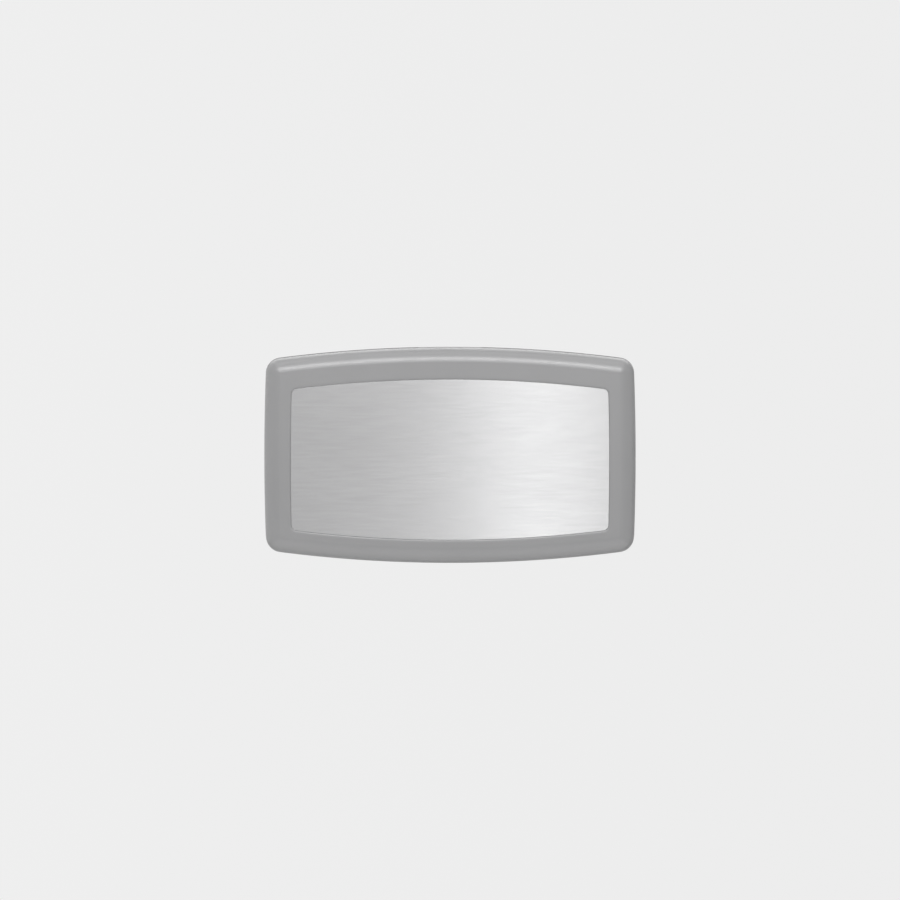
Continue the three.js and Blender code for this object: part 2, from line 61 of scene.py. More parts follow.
SLOT = {s["node"]: s["material_slot"] for s in frame["record"]["subparts"]}
PI = math.pi
SIDES = ((-1, "left"), (1, "right"))

# ---------------------------------------------------------------- dimensions, millimetres, as the frame has them
# f is the distance in front of the wall, so y = -f
HALF_W, HALF_H, BOW_TB, BOW_S, CORNER_R = 469, 273, 3386, 5600, 40
BED_INSET, FRONT_F, ROLL, SHELL_T, TRAY_T = 2, 102, 40, 4, 3.2
RIM_F, PANEL_F, STEP_F, STEP_Z = 32, 28, 12, -205
HINGE_F, HINGE_Z, ROD_R, ROD_HOLE, KNUCKLE_R, EAR_R = 50, -245, 6, 6.4, 9.5, 9.1
NOTCH_X, NOTCH_Z, NOTCH_F = 350, -232, 62.3
# the insert's outline lies 1 to 2 mm inside the solid's: the front is nearer the camera than the wall
INS_HW, INS_HH, INS_ZC, INS_R, INS_DEEP, INS_T = 400, 201.3, -12.1, 14.5, 2.2, 1.2
BASIN_HW, BASIN_TOP, BASIN_BOT, BASIN_R, FLOOR_F = 424, 226, -203, 95, 78
STUD_X, WELL_Z = 203.2, (150, 0, -150)
STRUT_X, STRUT_A = 400, 36
BIN_HX, BIN_Z0, BIN_Z1, BIN_F0, BIN_F1 = 150, -20, 150, 28.3, 66
LID_F, LID_Z, LOCK_F, BIN_SX, HOOK_X, GAP = 33, 153.5, 50, 110, 300, 0.3


# ---------------------------------------------------------------- mesh helpers
def link(me, name):
    ob = bpy.data.objects.new(name, me)
    bpy.context.scene.collection.objects.link(ob)
    return ob


def drop(ob):
    me = ob.data
    bpy.data.objects.remove(ob)
    if me.users == 0:
        bpy.data.meshes.remove(me)


def outwards(bm):
    """Turns every face of a closed skin outwards."""
    bm.normal_update()
    bmesh.ops.recalc_face_normals(bm, faces=bm.faces)
    if bm.calc_volume(signed=True) < 0:
        bmesh.ops.reverse_faces(bm, faces=bm.faces)


def skin(verts, faces, name="work"):
    """Closed skin from (x, f, z) points, normals outwards."""
    bm = bmesh.new()
    vs = [bm.verts.new((x, -f, z)) for x, f, z in verts]
    for fc in faces:
        bm.faces.new([vs[i] for i in fc])
    outwards(bm)
    me = bpy.data.meshes.new(name)
    bm.to_mesh(me)
    bm.free()
    return link(me, name)


def loft(rings, caps=True, around=True):
    n = len(rings[0])
    verts = [p for r in rings for p in r]
    faces = []
    for k in range(len(rings) - 1):
        for i in range(n if around else n - 1):
            j = (i + 1) % n
            faces.append((k * n + i, k * n + j, (k + 1) * n + j, (k + 1) * n + i))
    if caps:
        faces.append(tuple(range(n)))
        faces.append(tuple(range((len(rings) - 1) * n, len(rings) * n))[::-1])
    return skin(verts, faces)


def at(axis, a, c, u, v):
    if axis == "x":
        return (a, c[0] + u, c[1] + v)
    if axis == "f":
        return (c[0] + u, a, c[1] + v)
    return (c[0] + u, c[1] + v, a)


def lathe(axis, prof, c, n=40, closed=False, turn=0.0):
    """Profile of (radius, along) turned about an axis: c is the other two coordinates."""
    verts, rings, faces = [], [], []
    for r, a in prof:
        if r < 1e-6:
            rings.append([len(verts)])
            verts.append(at(axis, a, c, 0, 0))
        else:
            rings.append(list(range(len(verts), len(verts) + n)))
            for i in range(n):
                t = turn + 2 * PI * i / n
                verts.append(at(axis, a, c, r * math.cos(t), r * math.sin(t)))
    pairs = list(zip(rings, rings[1:])) + ([(rings[-1], rings[0])] if closed else [])
    for p, q in pairs:
        for i in range(n):
            j = (i + 1) % n
            if len(p) == 1 and len(q) == 1:
                break
            if len(p) == 1:
                faces.append((p[0], q[i], q[j]))
            elif len(q) == 1:
                faces.append((p[i], q[0], p[j]))
            else:
                faces.append((p[i], q[i], q[j], p[j]))
    if not closed:
        if len(rings[0]) > 1:
            faces.append(tuple(rings[0]))
        if len(rings[-1]) > 1:
            faces.append(tuple(rings[-1][::-1]))
    return skin(verts, faces)


def rod(axis, r, a0, a1, c, e=0.5, n=40, k=3):
    """Round bar with its end edges rounded by e."""
    if a1 < a0:
        a0, a1 = a1, a0
    if e <= 0:
        return lathe(axis, [(0, a0), (r, a0), (r, a1), (0, a1)], c, n)
    prof = [(0, a0)]
    for i in range(k + 1):
        t = PI / 2 * i / k
        prof.append((r - e + e * math.sin(t), a0 + e - e * math.cos(t)))
    for i in range(k + 1):
        t = PI / 2 * i / k
        prof.append((r - e + e * math.cos(t), a1 - e + e * math.sin(t)))
    prof.append((0, a1))
    return lathe(axis, prof, c, n)


def bore(axis, r, a0, a1, c, n=36):
    """Cutter for a round hole, turned a little so that no corner falls on an edge of the piece."""
    return lathe(axis, [(0, a0), (r, a0), (r, a1), (0, a1)], c, n, turn=0.0371)


def rbox(x0, x1, f0, f1, z0, z1, e=0.6, k=2):
    """Box with all edges rounded by e."""
    bm = bmesh.new()
    bmesh.ops.create_cube(bm, size=1)
    for v in bm.verts:
        v.co = (x0 + (v.co.x + 0.5) * (x1 - x0), -(f0 + (v.co.y + 0.5) * (f1 - f0)), z0 + (v.co.z + 0.5) * (z1 - z0))
    outwards(bm)
    if e > 0:
        bmesh.ops.bevel(bm, geom=list(bm.edges), offset=e, segments=k, profile=0.5, affect="EDGES", clamp_overlap=True)
        outwards(bm)
    me = bpy.data.meshes.new("work")
    bm.to_mesh(me)
    bm.free()
    return link(me, "work")


def block(x0, x1, f0, f1, z0, z1):
    return rbox(x0, x1, f0, f1, z0, z1, 0)


def prism(points, axis, a0, a1, e=0.0, k=2):
    """Outline drawn out along x (points are f, z), f (x, z) or z (x, f), its two end edges rounded by e."""
    def p3(p, a):
        if axis == "x":
            return (a, p[0], p[1])
        if axis == "f":
            return (p[0], a, p[1])
        return (p[0], p[1], a)
    n = len(points)
    ob = skin([p3(p, a0) for p in points] + [p3(p, a1) for p in points],
              [tuple(range(n)), tuple(range(n, 2 * n))[::-1]] + [(i, (i + 1) % n, n + (i + 1) % n, n + i) for i in range(n)])
    if e > 0:
        bm = bmesh.new()
        bm.from_mesh(ob.data)
        caps = [f for f in bm.faces if len(f.verts) == n and n > 4] or sorted(bm.faces, key=lambda f: -len(f.verts))[:2]
        if n == 4:
            ax = {"x": 0, "f": 1, "z": 2}[axis]
            caps = [f for f in bm.faces if abs(abs(f.normal[ax]) - 1) < 1e-4]
        edges = list({ed for f in caps for ed in f.edges})
        bmesh.ops.bevel(bm, geom=edges, offset=e, segments=k, profile=0.5, affect="EDGES", clamp_overlap=True)
        outwards(bm)
        bm.to_mesh(ob.data)
        bm.free()
    return ob


def boolean(a, b, op):
    m = a.modifiers.new("b", "BOOLEAN")
    m.operation = op
    m.object = b
    m.solver = "EXACT"
    dg = bpy.context.evaluated_depsgraph_get()
    me = bpy.data.meshes.new_from_object(a.evaluated_get(dg))
    a.modifiers.clear()
    old, a.data = a.data, me
    bpy.data.meshes.remove(old)
    drop(b)
    return a


def join(a, *rest):
    for b in rest:
        boolean(a, b, "UNION")
    return a


def cut(a, *rest):
    for b in rest:
        boolean(a, b, "DIFFERENCE")
    return a


def common(a, *rest):
    for b in rest:
        boolean(a, b, "INTERSECT")
    return a


def copy(ob):
    return link(ob.data.copy(), "work")


def merge(*obs):
    """Several closed skins in one mesh, not fused."""
    bm = bmesh.new()
    for o in obs:
        bm.from_mesh(o.data)
    me = bpy.data.meshes.new("work")
    bm.to_mesh(me)
    bm.free()
    for o in obs:
        drop(o)
    return link(me, "work")


def soften(ob, width, k=2, angle=30):
    """Rounds the edges that turn by more than angle."""
    bm = bmesh.new()
    bm.from_mesh(ob.data)
    bmesh.ops.remove_doubles(bm, verts=bm.verts, dist=1e-3)
    bmesh.ops.dissolve_limit(bm, angle_limit=math.radians(0.4), verts=bm.verts, edges=bm.edges)
    edges = [e for e in bm.edges if e.is_manifold and e.calc_face_angle(0) > math.radians(angle)]
    bmesh.ops.bevel(bm, geom=edges, offset=width, segments=k, profile=0.5, affect="EDGES", clamp_overlap=True)
    outwards(bm)
    bm.to_mesh(ob.data)
    bm.free()
    return ob


def sx(s, a, b):
    return (a, b) if s > 0 else (-b, -a)


def round_rect(x0, x1, z0, z1, r, n=8):
    pts = []
    for cx, cz, a0 in ((x1 - r, z0 + r, -PI / 2), (x1 - r, z1 - r, 0), (x0 + r, z1 - r, PI / 2), (x0 + r, z0 + r, PI)):
        for i in range(n + 1):
            a = a0 + i / n * PI / 2
            pts.append((cx + r * math.cos(a), cz + r * math.sin(a)))
    return pts


def rr_outline(x0, x1, z0, z1, r, n=10):
    out = []
    for cx, cz, a0 in ((x1 - r, z0 + r, -PI / 2), (x1 - r, z1 - r, 0), (x0 + r, z1 - r, PI / 2), (x0 + r, z0 + r, PI)):
        for i in range(n + 1):
            a = a0 + i / n * PI / 2
            out.append((cx + r * math.cos(a), cz + r * math.sin(a), math.cos(a), math.sin(a)))
    return out


def corners(points, r, n=6):
    """A closed outline with each corner rounded by r, or by its own radius where the point has three numbers."""
    out, m = [], len(points)
    for i in range(m):
        p, a, b = Vector(points[i][:2]), Vector(points[i - 1][:2]), Vector(points[(i + 1) % m][:2])
        rr = points[i][2] if len(points[i]) > 2 else r
        u, v = (a - p), (b - p)
        lu, lv = u.length, v.length
        u, v = u / lu, v / lv
        half = math.acos(max(-1, min(1, u.dot(v)))) / 2
        if rr <= 0 or half > PI / 2 - 0.02:
            out.append((p.x, p.y))
            continue
        t = min(rr / math.tan(half), lu * 0.49, lv * 0.49)
        q0, q1 = p + u * t, p + v * t
        c = p + (u + v).normalized() * (t / math.cos(half))
        rad = t * math.tan(half)
        a0, a1 = math.atan2(q0.y - c.y, q0.x - c.x), math.atan2(q1.y - c.y, q1.x - c.x)
        d = (a1 - a0 + PI) % (2 * PI) - PI
        for j in range(n + 1):
            t2 = a0 + d * j / n
            out.append((c.x + rad * math.cos(t2), c.y + rad * math.sin(t2)))
    return out


def chaikin(points, times=2):
    for _ in range(times):
        out, m = [], len(points)
        for i in range(m):
            p, q = points[i], points[(i + 1) % m]
            out.append((p[0] * 0.75 + q[0] * 0.25, p[1] * 0.75 + q[1] * 0.25))
            out.append((p[0] * 0.25 + q[0] * 0.75, p[1] * 0.25 + q[1] * 0.75))
        points = out
    return points


def spline(points, k=6):
    """Smooth line through the points."""
    out, m = [], len(points)
    for i in range(m - 1):
        p0, p1, p2, p3 = (Vector(points[max(0, i - 1)]), Vector(points[i]), Vector(points[i + 1]), Vector(points[min(m - 1, i + 2)]))
        d1, d2, d3 = ((p1 - p0).length or 1) ** 0.5, ((p2 - p1).length or 1) ** 0.5, ((p3 - p2).length or 1) ** 0.5
        for j in range(k):
            t = j / k
            m1 = (p2 - p1) + d2 * ((p1 - p0) / d1 - (p2 - p0) / (d1 + d2)) if i > 0 else (p2 - p1)
            m2 = (p2 - p1) + d2 * ((p3 - p2) / d3 - (p3 - p1) / (d2 + d3)) if i < m - 2 else (p2 - p1)
            a = 2 * p1 - 2 * p2 + m1 + m2
            b = -3 * p1 + 3 * p2 - 2 * m1 - m2
            out.append(tuple(a * t ** 3 + b * t ** 2 + m1 * t + p1))
    out.append(tuple(points[-1]))
    return out


def bowed(hw, hh, zc, r, bow_tb=BOW_TB, bow_s=BOW_S, n_tb=72, n_c=16, n_s=36):
    """Outline of four shallow arcs with round corners: (x, z, nx, nz), counter-clockwise."""
    T, S = (0, hh - bow_tb), (hw - bow_s, 0)
    r1, r2 = bow_tb - r, bow_s - r
    dx, dz = S[0] - T[0], S[1] - T[1]
    d = math.hypot(dx, dz)
    a = (r1 * r1 - r2 * r2 + d * d) / (2 * d)
    h = math.sqrt(r1 * r1 - a * a)
    mx, mz = T[0] + a * dx / d, T[1] + a * dz / d
    c1, c2 = (mx + h * dz / d, mz - h * dx / d), (mx - h * dz / d, mz + h * dx / d)
    C = c1 if c1[0] > 0 and c1[1] > 0 else c2
    a_s, a_t = math.atan2(C[1] - S[1], C[0] - S[0]), math.atan2(C[1] - T[1], C[0] - T[0])
    out = []

    def arc(cx, cz, rad, a0, a1, n):
        for i in range(n):
            t = a0 + (a1 - a0) * i / n
            out.append((cx + rad * math.cos(t), zc + cz + rad * math.sin(t), math.cos(t), math.sin(t)))
    arc(S[0], 0, bow_s, -a_s, a_s, n_s)
    arc(C[0], C[1], r, a_s, a_t, n_c)
    arc(T[0], T[1], bow_tb, a_t, PI - a_t, n_tb)
    arc(-C[0], C[1], r, PI - a_t, PI - a_s, n_c)
    arc(-S[0], 0, bow_s, PI - a_s, PI + a_s, n_s)
    arc(-C[0], -C[1], r, PI + a_s, PI + a_t, n_c)
    arc(0, -T[1], bow_tb, PI + a_t, 2 * PI - a_t, n_tb)
    arc(C[0], -C[1], r, 2 * PI - a_t, 2 * PI - a_s, n_c)
    return out


def ring(base, d, f):
    return [(x - d * nx, f, z - d * nz) for x, z, nx, nz in base]


# ---------------------------------------------------------------- materials
def tree(name):
    m = bpy.data.materials.new(name)
    m.use_nodes = True
    nt = m.node_tree
    nt.nodes.clear()
    out = nt.nodes.new("ShaderNodeOutputMaterial")
    b = nt.nodes.new("ShaderNodeBsdfPrincipled")
    nt.links.new(b.outputs[0], out.inputs[0])
    return m, nt, b


def coords(nt, scale=(1, 1, 1), rot=(0, 0, 0)):
    tc = nt.nodes.new("ShaderNodeTexCoord")
    mp = nt.nodes.new("ShaderNodeMapping")
    mp.inputs["Scale"].default_value = scale
    mp.inputs["Rotation"].default_value = rot
    nt.links.new(tc.outputs["Object"], mp.inputs["Vector"])
    return mp.outputs["Vector"]


def noise(nt, vec, scale, detail=3.0, rough=0.55):
    n = nt.nodes.new("ShaderNodeTexNoise")
    n.inputs["Scale"].default_value = scale
    n.inputs["Detail"].default_value = detail
    n.inputs["Roughness"].default_value = rough
    nt.links.new(vec, n.inputs["Vector"])
    return n.outputs["Fac"]


def cells(nt, vec, scale, feature="SMOOTH_F1"):
    n = nt.nodes.new("ShaderNodeTexVoronoi")
    n.feature = feature
    n.inputs["Scale"].default_value = scale
    nt.links.new(vec, n.inputs["Vector"])
    return n.outputs["Distance"]


def math2(nt, op, a, b):
    n = nt.nodes.new("ShaderNodeMath")
    n.operation = op
    for i, v in enumerate((a, b)):
        if isinstance(v, (int, float)):
            n.inputs[i].default_value = v
        else:
            nt.links.new(v, n.inputs[i])
    return n.outputs[0]


def spread(nt, fac, lo, hi, src=(0.3, 0.7)):
    n = nt.nodes.new("ShaderNodeMapRange")
    n.inputs["From Min"].default_value, n.inputs["From Max"].default_value = src
    n.inputs["To Min"].default_value, n.inputs["To Max"].default_value = lo, hi
    nt.links.new(fac, n.inputs["Value"])
    return n.outputs["Result"]


def ramp(nt, fac, stops):
    n = nt.nodes.new("ShaderNodeValToRGB")
    el = n.color_ramp.elements
    while len(el) < len(stops):
        el.new(0.5)
    for e, (p, c) in zip(el, stops):
        e.position = p
        e.color = (*c, 1)
    nt.links.new(fac, n.inputs["Fac"])
    return n.outputs["Color"]


def bump(nt, b, height, strength, distance, under=None):
    n = nt.nodes.new("ShaderNodeBump")
    n.inputs["Strength"].default_value = strength
    n.inputs["Distance"].default_value = distance
    nt.links.new(height, n.inputs["Height"])
    if under is not None:
        nt.links.new(under, n.inputs["Normal"])
    if b is not None:
        nt.links.new(n.outputs["Normal"], b.inputs["Normal"])
    return n.outputs["Normal"]


def shade(c, k):
    return tuple(min(1.0, x * k) for x in c)


def moulded(name, base, rough=0.46, grain=1.0, ior=1.5, vary=0.03, dust_and_seam_shade=False):
    """Moulded plastic: soft tone drift, faint flow marks and a fine pebbled grain; where asked, a painted seam shadow.
    """
    m, nt, b = tree(name)
    v = coords(nt)
    drift = noise(nt, v, 5.0, 2.0)
    speck = noise(nt, v, 260.0, 4.0, 0.65)
    tone = math2(nt, "ADD", math2(nt, "MULTIPLY", drift, 0.7), math2(nt, "MULTIPLY", speck, 0.3))
    col = ramp(nt, tone, [(0.3, shade(base, 1 - vary)), (0.5, base), (0.7, shade(base, 1 + vary))])
    if dust_and_seam_shade:
        # painted shade: near black where the mesh attribute says, a seam shadow painted into the colour
        at_ = nt.nodes.new("ShaderNodeAttribute")
        at_.attribute_name = "dust_and_seam_shade"
        mix = nt.nodes.new("ShaderNodeMix")
        mix.data_type = "RGBA"
        nt.links.new(math2(nt, "MULTIPLY", at_.outputs["Fac"], spread(nt, noise(nt, v, 60.0, 3.0), 0.7, 1.0)), mix.inputs[0])
        nt.links.new(col, mix.inputs[6])
        mix.inputs[7].default_value = (0.028, 0.028, 0.029, 1)
        col = mix.outputs[2]
    nt.links.new(col, b.inputs["Base Color"])
    gloss = spread(nt, noise(nt, v, 90.0, 4.0), rough - 0.05, rough + 0.06)
    if dust_and_seam_shade:
        gloss = math2(nt, "MAXIMUM", gloss, math2(nt, "MULTIPLY", at_.outputs["Fac"], 0.95))
    nt.links.new(gloss, b.inputs["Roughness"])
    peb = cells(nt, v, 950.0)
    n1 = bump(nt, None, peb, 0.16 * grain, 0.00025)
    n2 = bump(nt, None, noise(nt, v, 2600.0, 2.0), 0.10 * grain, 0.0001, n1)
    flow = noise(nt, coords(nt, (1.0, 1.0, 2.4)), 14.0, 1.0)
    bump(nt, b, flow, 0.022 * grain, 0.0012, n2)
    b.inputs["IOR"].default_value = ior
    return m


def brushed(name):
    """Stainless sheet with lines brushed along its length."""
    m, nt, b = tree(name)
    fine = noise(nt, coords(nt, (18, 1, 1500)), 1.0, 3.0, 0.6)
    mid = noise(nt, coords(nt, (15, 1, 245)), 1.0, 1.0, 0.5)
    wide = noise(nt, coords(nt, (11, 1, 140)), 1.0, 1.0, 0.5)
    tone = math2(nt, "ADD", math2(nt, "MULTIPLY", fine, 0.35), math2(nt, "ADD", math2(nt, "MULTIPLY", mid, 0.3), math2(nt, "MULTIPLY", wide, 0.35)))
    nt.links.new(ramp(nt, tone, [(0.3, (0.411, 0.411, 0.414)), (0.5, (0.433, 0.433, 0.436)), (0.7, (0.455, 0.455, 0.457))]), b.inputs["Base Color"])
    nt.links.new(spread(nt, noise(nt, coords(nt, (3, 1, 9)), 1.0, 2.0), 0.192, 0.208), b.inputs["Roughness"])
    b.inputs["Metallic"].default_value = 1.0
    b.inputs["Anisotropic"].default_value = 0.75
    tg = nt.nodes.new("ShaderNodeTangent")
    tg.direction_type = "UV_MAP"
    tg.uv_map = "brush"
    nt.links.new(tg.outputs["Tangent"], b.inputs["Tangent"])
    n1 = bump(nt, None, fine, 0.10, 0.00004)
    bump(nt, b, mid, 0.08, 0.00006, n1)
    return m


def plated(name, base, rough=0.34, spangle=True):
    """Zinc or nickel plate: patchy spangle, rolling marks and fine pits."""
    m, nt, b = tree(name)
    v = coords(nt)
    patch = cells(nt, v, 130.0, "F1") if spangle else noise(nt, v, 30.0, 3.0)
    cloud = noise(nt, v, 45.0, 4.0, 0.6)
    tone = math2(nt, "ADD", math2(nt, "MULTIPLY", patch, 0.5), math2(nt, "MULTIPLY", cloud, 0.5))
    nt.links.new(ramp(nt, tone, [(0.25, shade(base, 0.88)), (0.5, base), (0.75, shade(base, 1.1))]), b.inputs["Base Color"])
    nt.links.new(spread(nt, tone, rough - 0.08, rough + 0.1), b.inputs["Roughness"])
    b.inputs["Metallic"].default_value = 1.0
    bump(nt, b, noise(nt, v, 900.0, 3.0), 0.10, 0.00008)
    return m


def turned(name, base, rough=0.2, scale=(2200, 60, 60)):
    """Ground or turned bright steel: fine rings and a few scratches."""
    m, nt, b = tree(name)
    lines = noise(nt, coords(nt, scale), 1.0, 2.0)
    smear = noise(nt, coords(nt), 60.0, 4.0)
    tone = math2(nt, "ADD", math2(nt, "MULTIPLY", lines, 0.6), math2(nt, "MULTIPLY", smear, 0.4))
    nt.links.new(ramp(nt, tone, [(0.3, shade(base, 0.93)), (0.7, shade(base, 1.05))]), b.inputs["Base Color"])
    nt.links.new(spread(nt, tone, rough - 0.05, rough + 0.08), b.inputs["Roughness"])
    b.inputs["Metallic"].default_value = 1.0
    bump(nt, b, lines, 0.06, 0.00003)
    return m


def painted(name, base, rough=0.36):
    """Gloss paint on metal with light orange peel."""
    m, nt, b = tree(name)
    v = coords(nt)
    peel = noise(nt, v, 520.0, 2.0)
    dust_and_seam_shade = noise(nt, v, 70.0, 4.0)
    nt.links.new(ramp(nt, dust_and_seam_shade, [(0.3, shade(base, 0.8)), (0.55, base), (0.8, shade(base, 1.8))]), b.inputs["Base Color"])
    nt.links.new(spread(nt, dust_and_seam_shade, rough - 0.06, rough + 0.1), b.inputs["Roughness"])
    bump(nt, b, peel, 0.15, 0.0001)
    return m


def rubbery(name, base):
    m, nt, b = tree(name)
    v = coords(nt)
    bloom = noise(nt, v, 160.0, 5.0, 0.65)
    nt.links.new(ramp(nt, bloom, [(0.3, shade(base, 0.75)), (0.6, base), (0.8, shade(base, 1.9))]), b.inputs["Base Color"])
    nt.links.new(spread(nt, bloom, 0.66, 0.86), b.inputs["Roughness"])
    bump(nt, b, noise(nt, v, 1400.0, 3.0), 0.25, 0.0001)
    return m


def woven(name, base, light):
    """Herringbone webbing: diagonal ribs that turn back across the width, with fine yarn."""
    m, nt, b = tree(name)
    tc = nt.nodes.new("ShaderNodeTexCoord")
    sp = nt.nodes.new("ShaderNodeSeparateXYZ")
    nt.links.new(tc.outputs["Object"], sp.inputs[0])
    zig = math2(nt, "PINGPONG", math2(nt, "ADD", sp.outputs["X"], 0.095), 0.0038)
    run = math2(nt, "ADD", sp.outputs["Z"], math2(nt, "MULTIPLY", zig, 1.3))
    rib = math2(nt, "ABSOLUTE", math2(nt, "SINE", math2(nt, "MULTIPLY", run, PI / 0.0017), 0), 0)
    yarn = math2(nt, "ABSOLUTE", math2(nt, "SINE", math2(nt, "MULTIPLY", sp.outputs["X"], PI / 0.00095), 0), 0)
    fuzz = noise(nt, tc.outputs["Object"], 1800.0, 3.0)
    h = math2(nt, "ADD", math2(nt, "MULTIPLY", rib, 0.65), math2(nt, "ADD", math2(nt, "MULTIPLY", yarn, 0.25), math2(nt, "MULTIPLY", fuzz, 0.2)))
    nt.links.new(ramp(nt, h, [(0.2, shade(base, 0.5)), (0.6, base), (0.95, light)]), b.inputs["Base Color"])
    nt.links.new(spread(nt, fuzz, 0.72, 0.9), b.inputs["Roughness"])
    b.inputs["Sheen Weight"].default_value = 0.25
    b.inputs["Sheen Roughness"].default_value = 0.4
    bump(nt, b, h, 0.6, 0.0003)
    return m


def twisted(name, base):
    m, nt, b = tree(name)
    v = coords(nt, (1, 1, 1), (0, 0.7, 0))
    ply = noise(nt, coords(nt, (900, 900, 2600), (0, 0.6, 0)), 1.0, 2.0)
    nt.links.new(ramp(nt, ply, [(0.3, shade(base, 0.7)), (0.7, shade(base, 1.25))]), b.inputs["Base Color"])
    nt.links.new(spread(nt, noise(nt, v, 900.0, 2.0), 0.6, 0.8), b.inputs["Roughness"])
    bump(nt, b, ply, 0.4, 0.0001)
    return m


MAT = {
    # painted shade: this material paints a near-black seam shadow wherever a mesh carries the seam attribute
    "grey_shell": moulded("grey polyethylene", (0.154, 0.154, 0.156), 0.38, 1.0, 1.8, dust_and_seam_shade=True),
    "back_plate": moulded("dark back sheet", (0.19, 0.19, 0.195), 0.55, 1.4),
    "light_grey": moulded("light grey plastic", (0.44, 0.445, 0.45), 0.44, 0.8),
    "brushed_steel": brushed("brushed stainless"),
    "zinc_steel": plated("zinc plated steel", (0.56, 0.57, 0.59), 0.36),
    "bright_steel": turned("ground steel", (0.68, 0.685, 0.70), 0.2),
    "chrome": plated("nickel plate", (0.68, 0.685, 0.69), 0.18, False),
    "black_paint": painted("black paint", (0.014, 0.014, 0.015)),
    "black_plastic": moulded("black plastic", (0.020, 0.020, 0.022), 0.42, 1.0, 1.5, 0.18),
    "rubber": rubbery("rubber", (0.022, 0.022, 0.023)),
    "webbing": woven("webbing", (0.026, 0.028, 0.033), (0.075, 0.078, 0.088)),
}
THREAD = twisted("thread", (0.11, 0.11, 0.12))


def finish_mesh(ob, angle=38, weighted=True):
    me = ob.data
    bm = bmesh.new()
    bm.from_mesh(me)
    bmesh.ops.dissolve_degenerate(bm, dist=0.002, edges=bm.edges[:])
    bm.to_mesh(me)
    bm.free()
    me.transform(Matrix.Scale(0.001, 4))
    me.polygons.foreach_set("use_smooth", [True] * len(me.polygons))
    me.set_sharp_from_angle(angle=math.radians(angle))
    if weighted:
        w = ob.modifiers.new("normals", "WEIGHTED_NORMAL")
        w.keep_sharp = True
        w.weight = 60
    me.update()


def piece(node, ob, name=None, mat=None, angle=38, weighted=True):
    """Finishes a mesh that stands for a CAD node."""
    ob.name = name or node + "_look"
    ob.data.name = ob.name
    finish_mesh(ob, angle, weighted)
    ob.data.materials.clear()
    ob.data.materials.append(mat or MAT[SLOT[node]])
    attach(ob, BODY[node])
    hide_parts(node)
    return ob


# ---------------------------------------------------------------- outlines
OUT = bowed(HALF_W, HALF_H, 0, CORNER_R)
INS = bowed(INS_HW, INS_HH, INS_ZC, INS_R, 3160, 6570)
BAS = bowed(BASIN_HW, (BASIN_TOP - BASIN_BOT) / 2, (BASIN_TOP + BASIN_BOT) / 2, BASIN_R, 3300, 5800)


def bed_ring(d, f):
    return ring(OUT, BED_INSET + d, f)


def quarter(n):
    return [PI / 2 * i / n for i in range(n + 1)]


def panel_block():
    """What fills the panel's outline, its sides within the 4 mm rim wall."""
    return loft([ring(OUT, 2.6, PANEL_F + 5), ring(OUT, 2.6, -5)])


def strut_cut(g):
    return [(20, -190 + g), (93 + g, -190 + g), (93 + g, -216 - g * 0.4), (57 + g, -252 - g * 0.4), (57 + g, -300), (20, -300)]


# ---------------------------------------------------------------- bed: outer shell, tray, insert
def bed_outer_shell():
    lip = [ring(INS, -7 + 6.6 * math.cos(a), FRONT_F - INS_DEEP + INS_DEEP * math.sin(a)) for a in quarter(9)]
    roll = [bed_ring(min(ROLL * (1 - math.sin(a)), ROLL - 2.5), FRONT_F - ROLL * (1 - math.cos(a))) for a in quarter(26)]
    side = [bed_ring(0.2, 48), bed_ring(0.35, 37.5), bed_ring(0.7, 36.2), bed_ring(1.6, RIM_F + TRAY_T + GAP)]
    r = ROLL - SHELL_T
    inner = [bed_ring(SHELL_T, RIM_F + TRAY_T + GAP)]
    inner += [bed_ring(min(ROLL - r * math.cos(a), ROLL - 2.5), min(FRONT_F - ROLL + r * math.sin(a), FRONT_F - SHELL_T - 1)) for a in quarter(8)]
    s = loft(lip + roll + side + inner)
    s = cut(s, block(-NOTCH_X - 2.7, NOTCH_X + 2.7, 0, NOTCH_F + 2.7, -320, NOTCH_Z + 2.7))
    for sg, _ in SIDES:
        s = cut(s, prism(strut_cut(2.2), "x", *sx(sg, STRUT_X - 16.2, STRUT_X + 16.2)))
    piece("bed_outer_shell", s, angle=32)


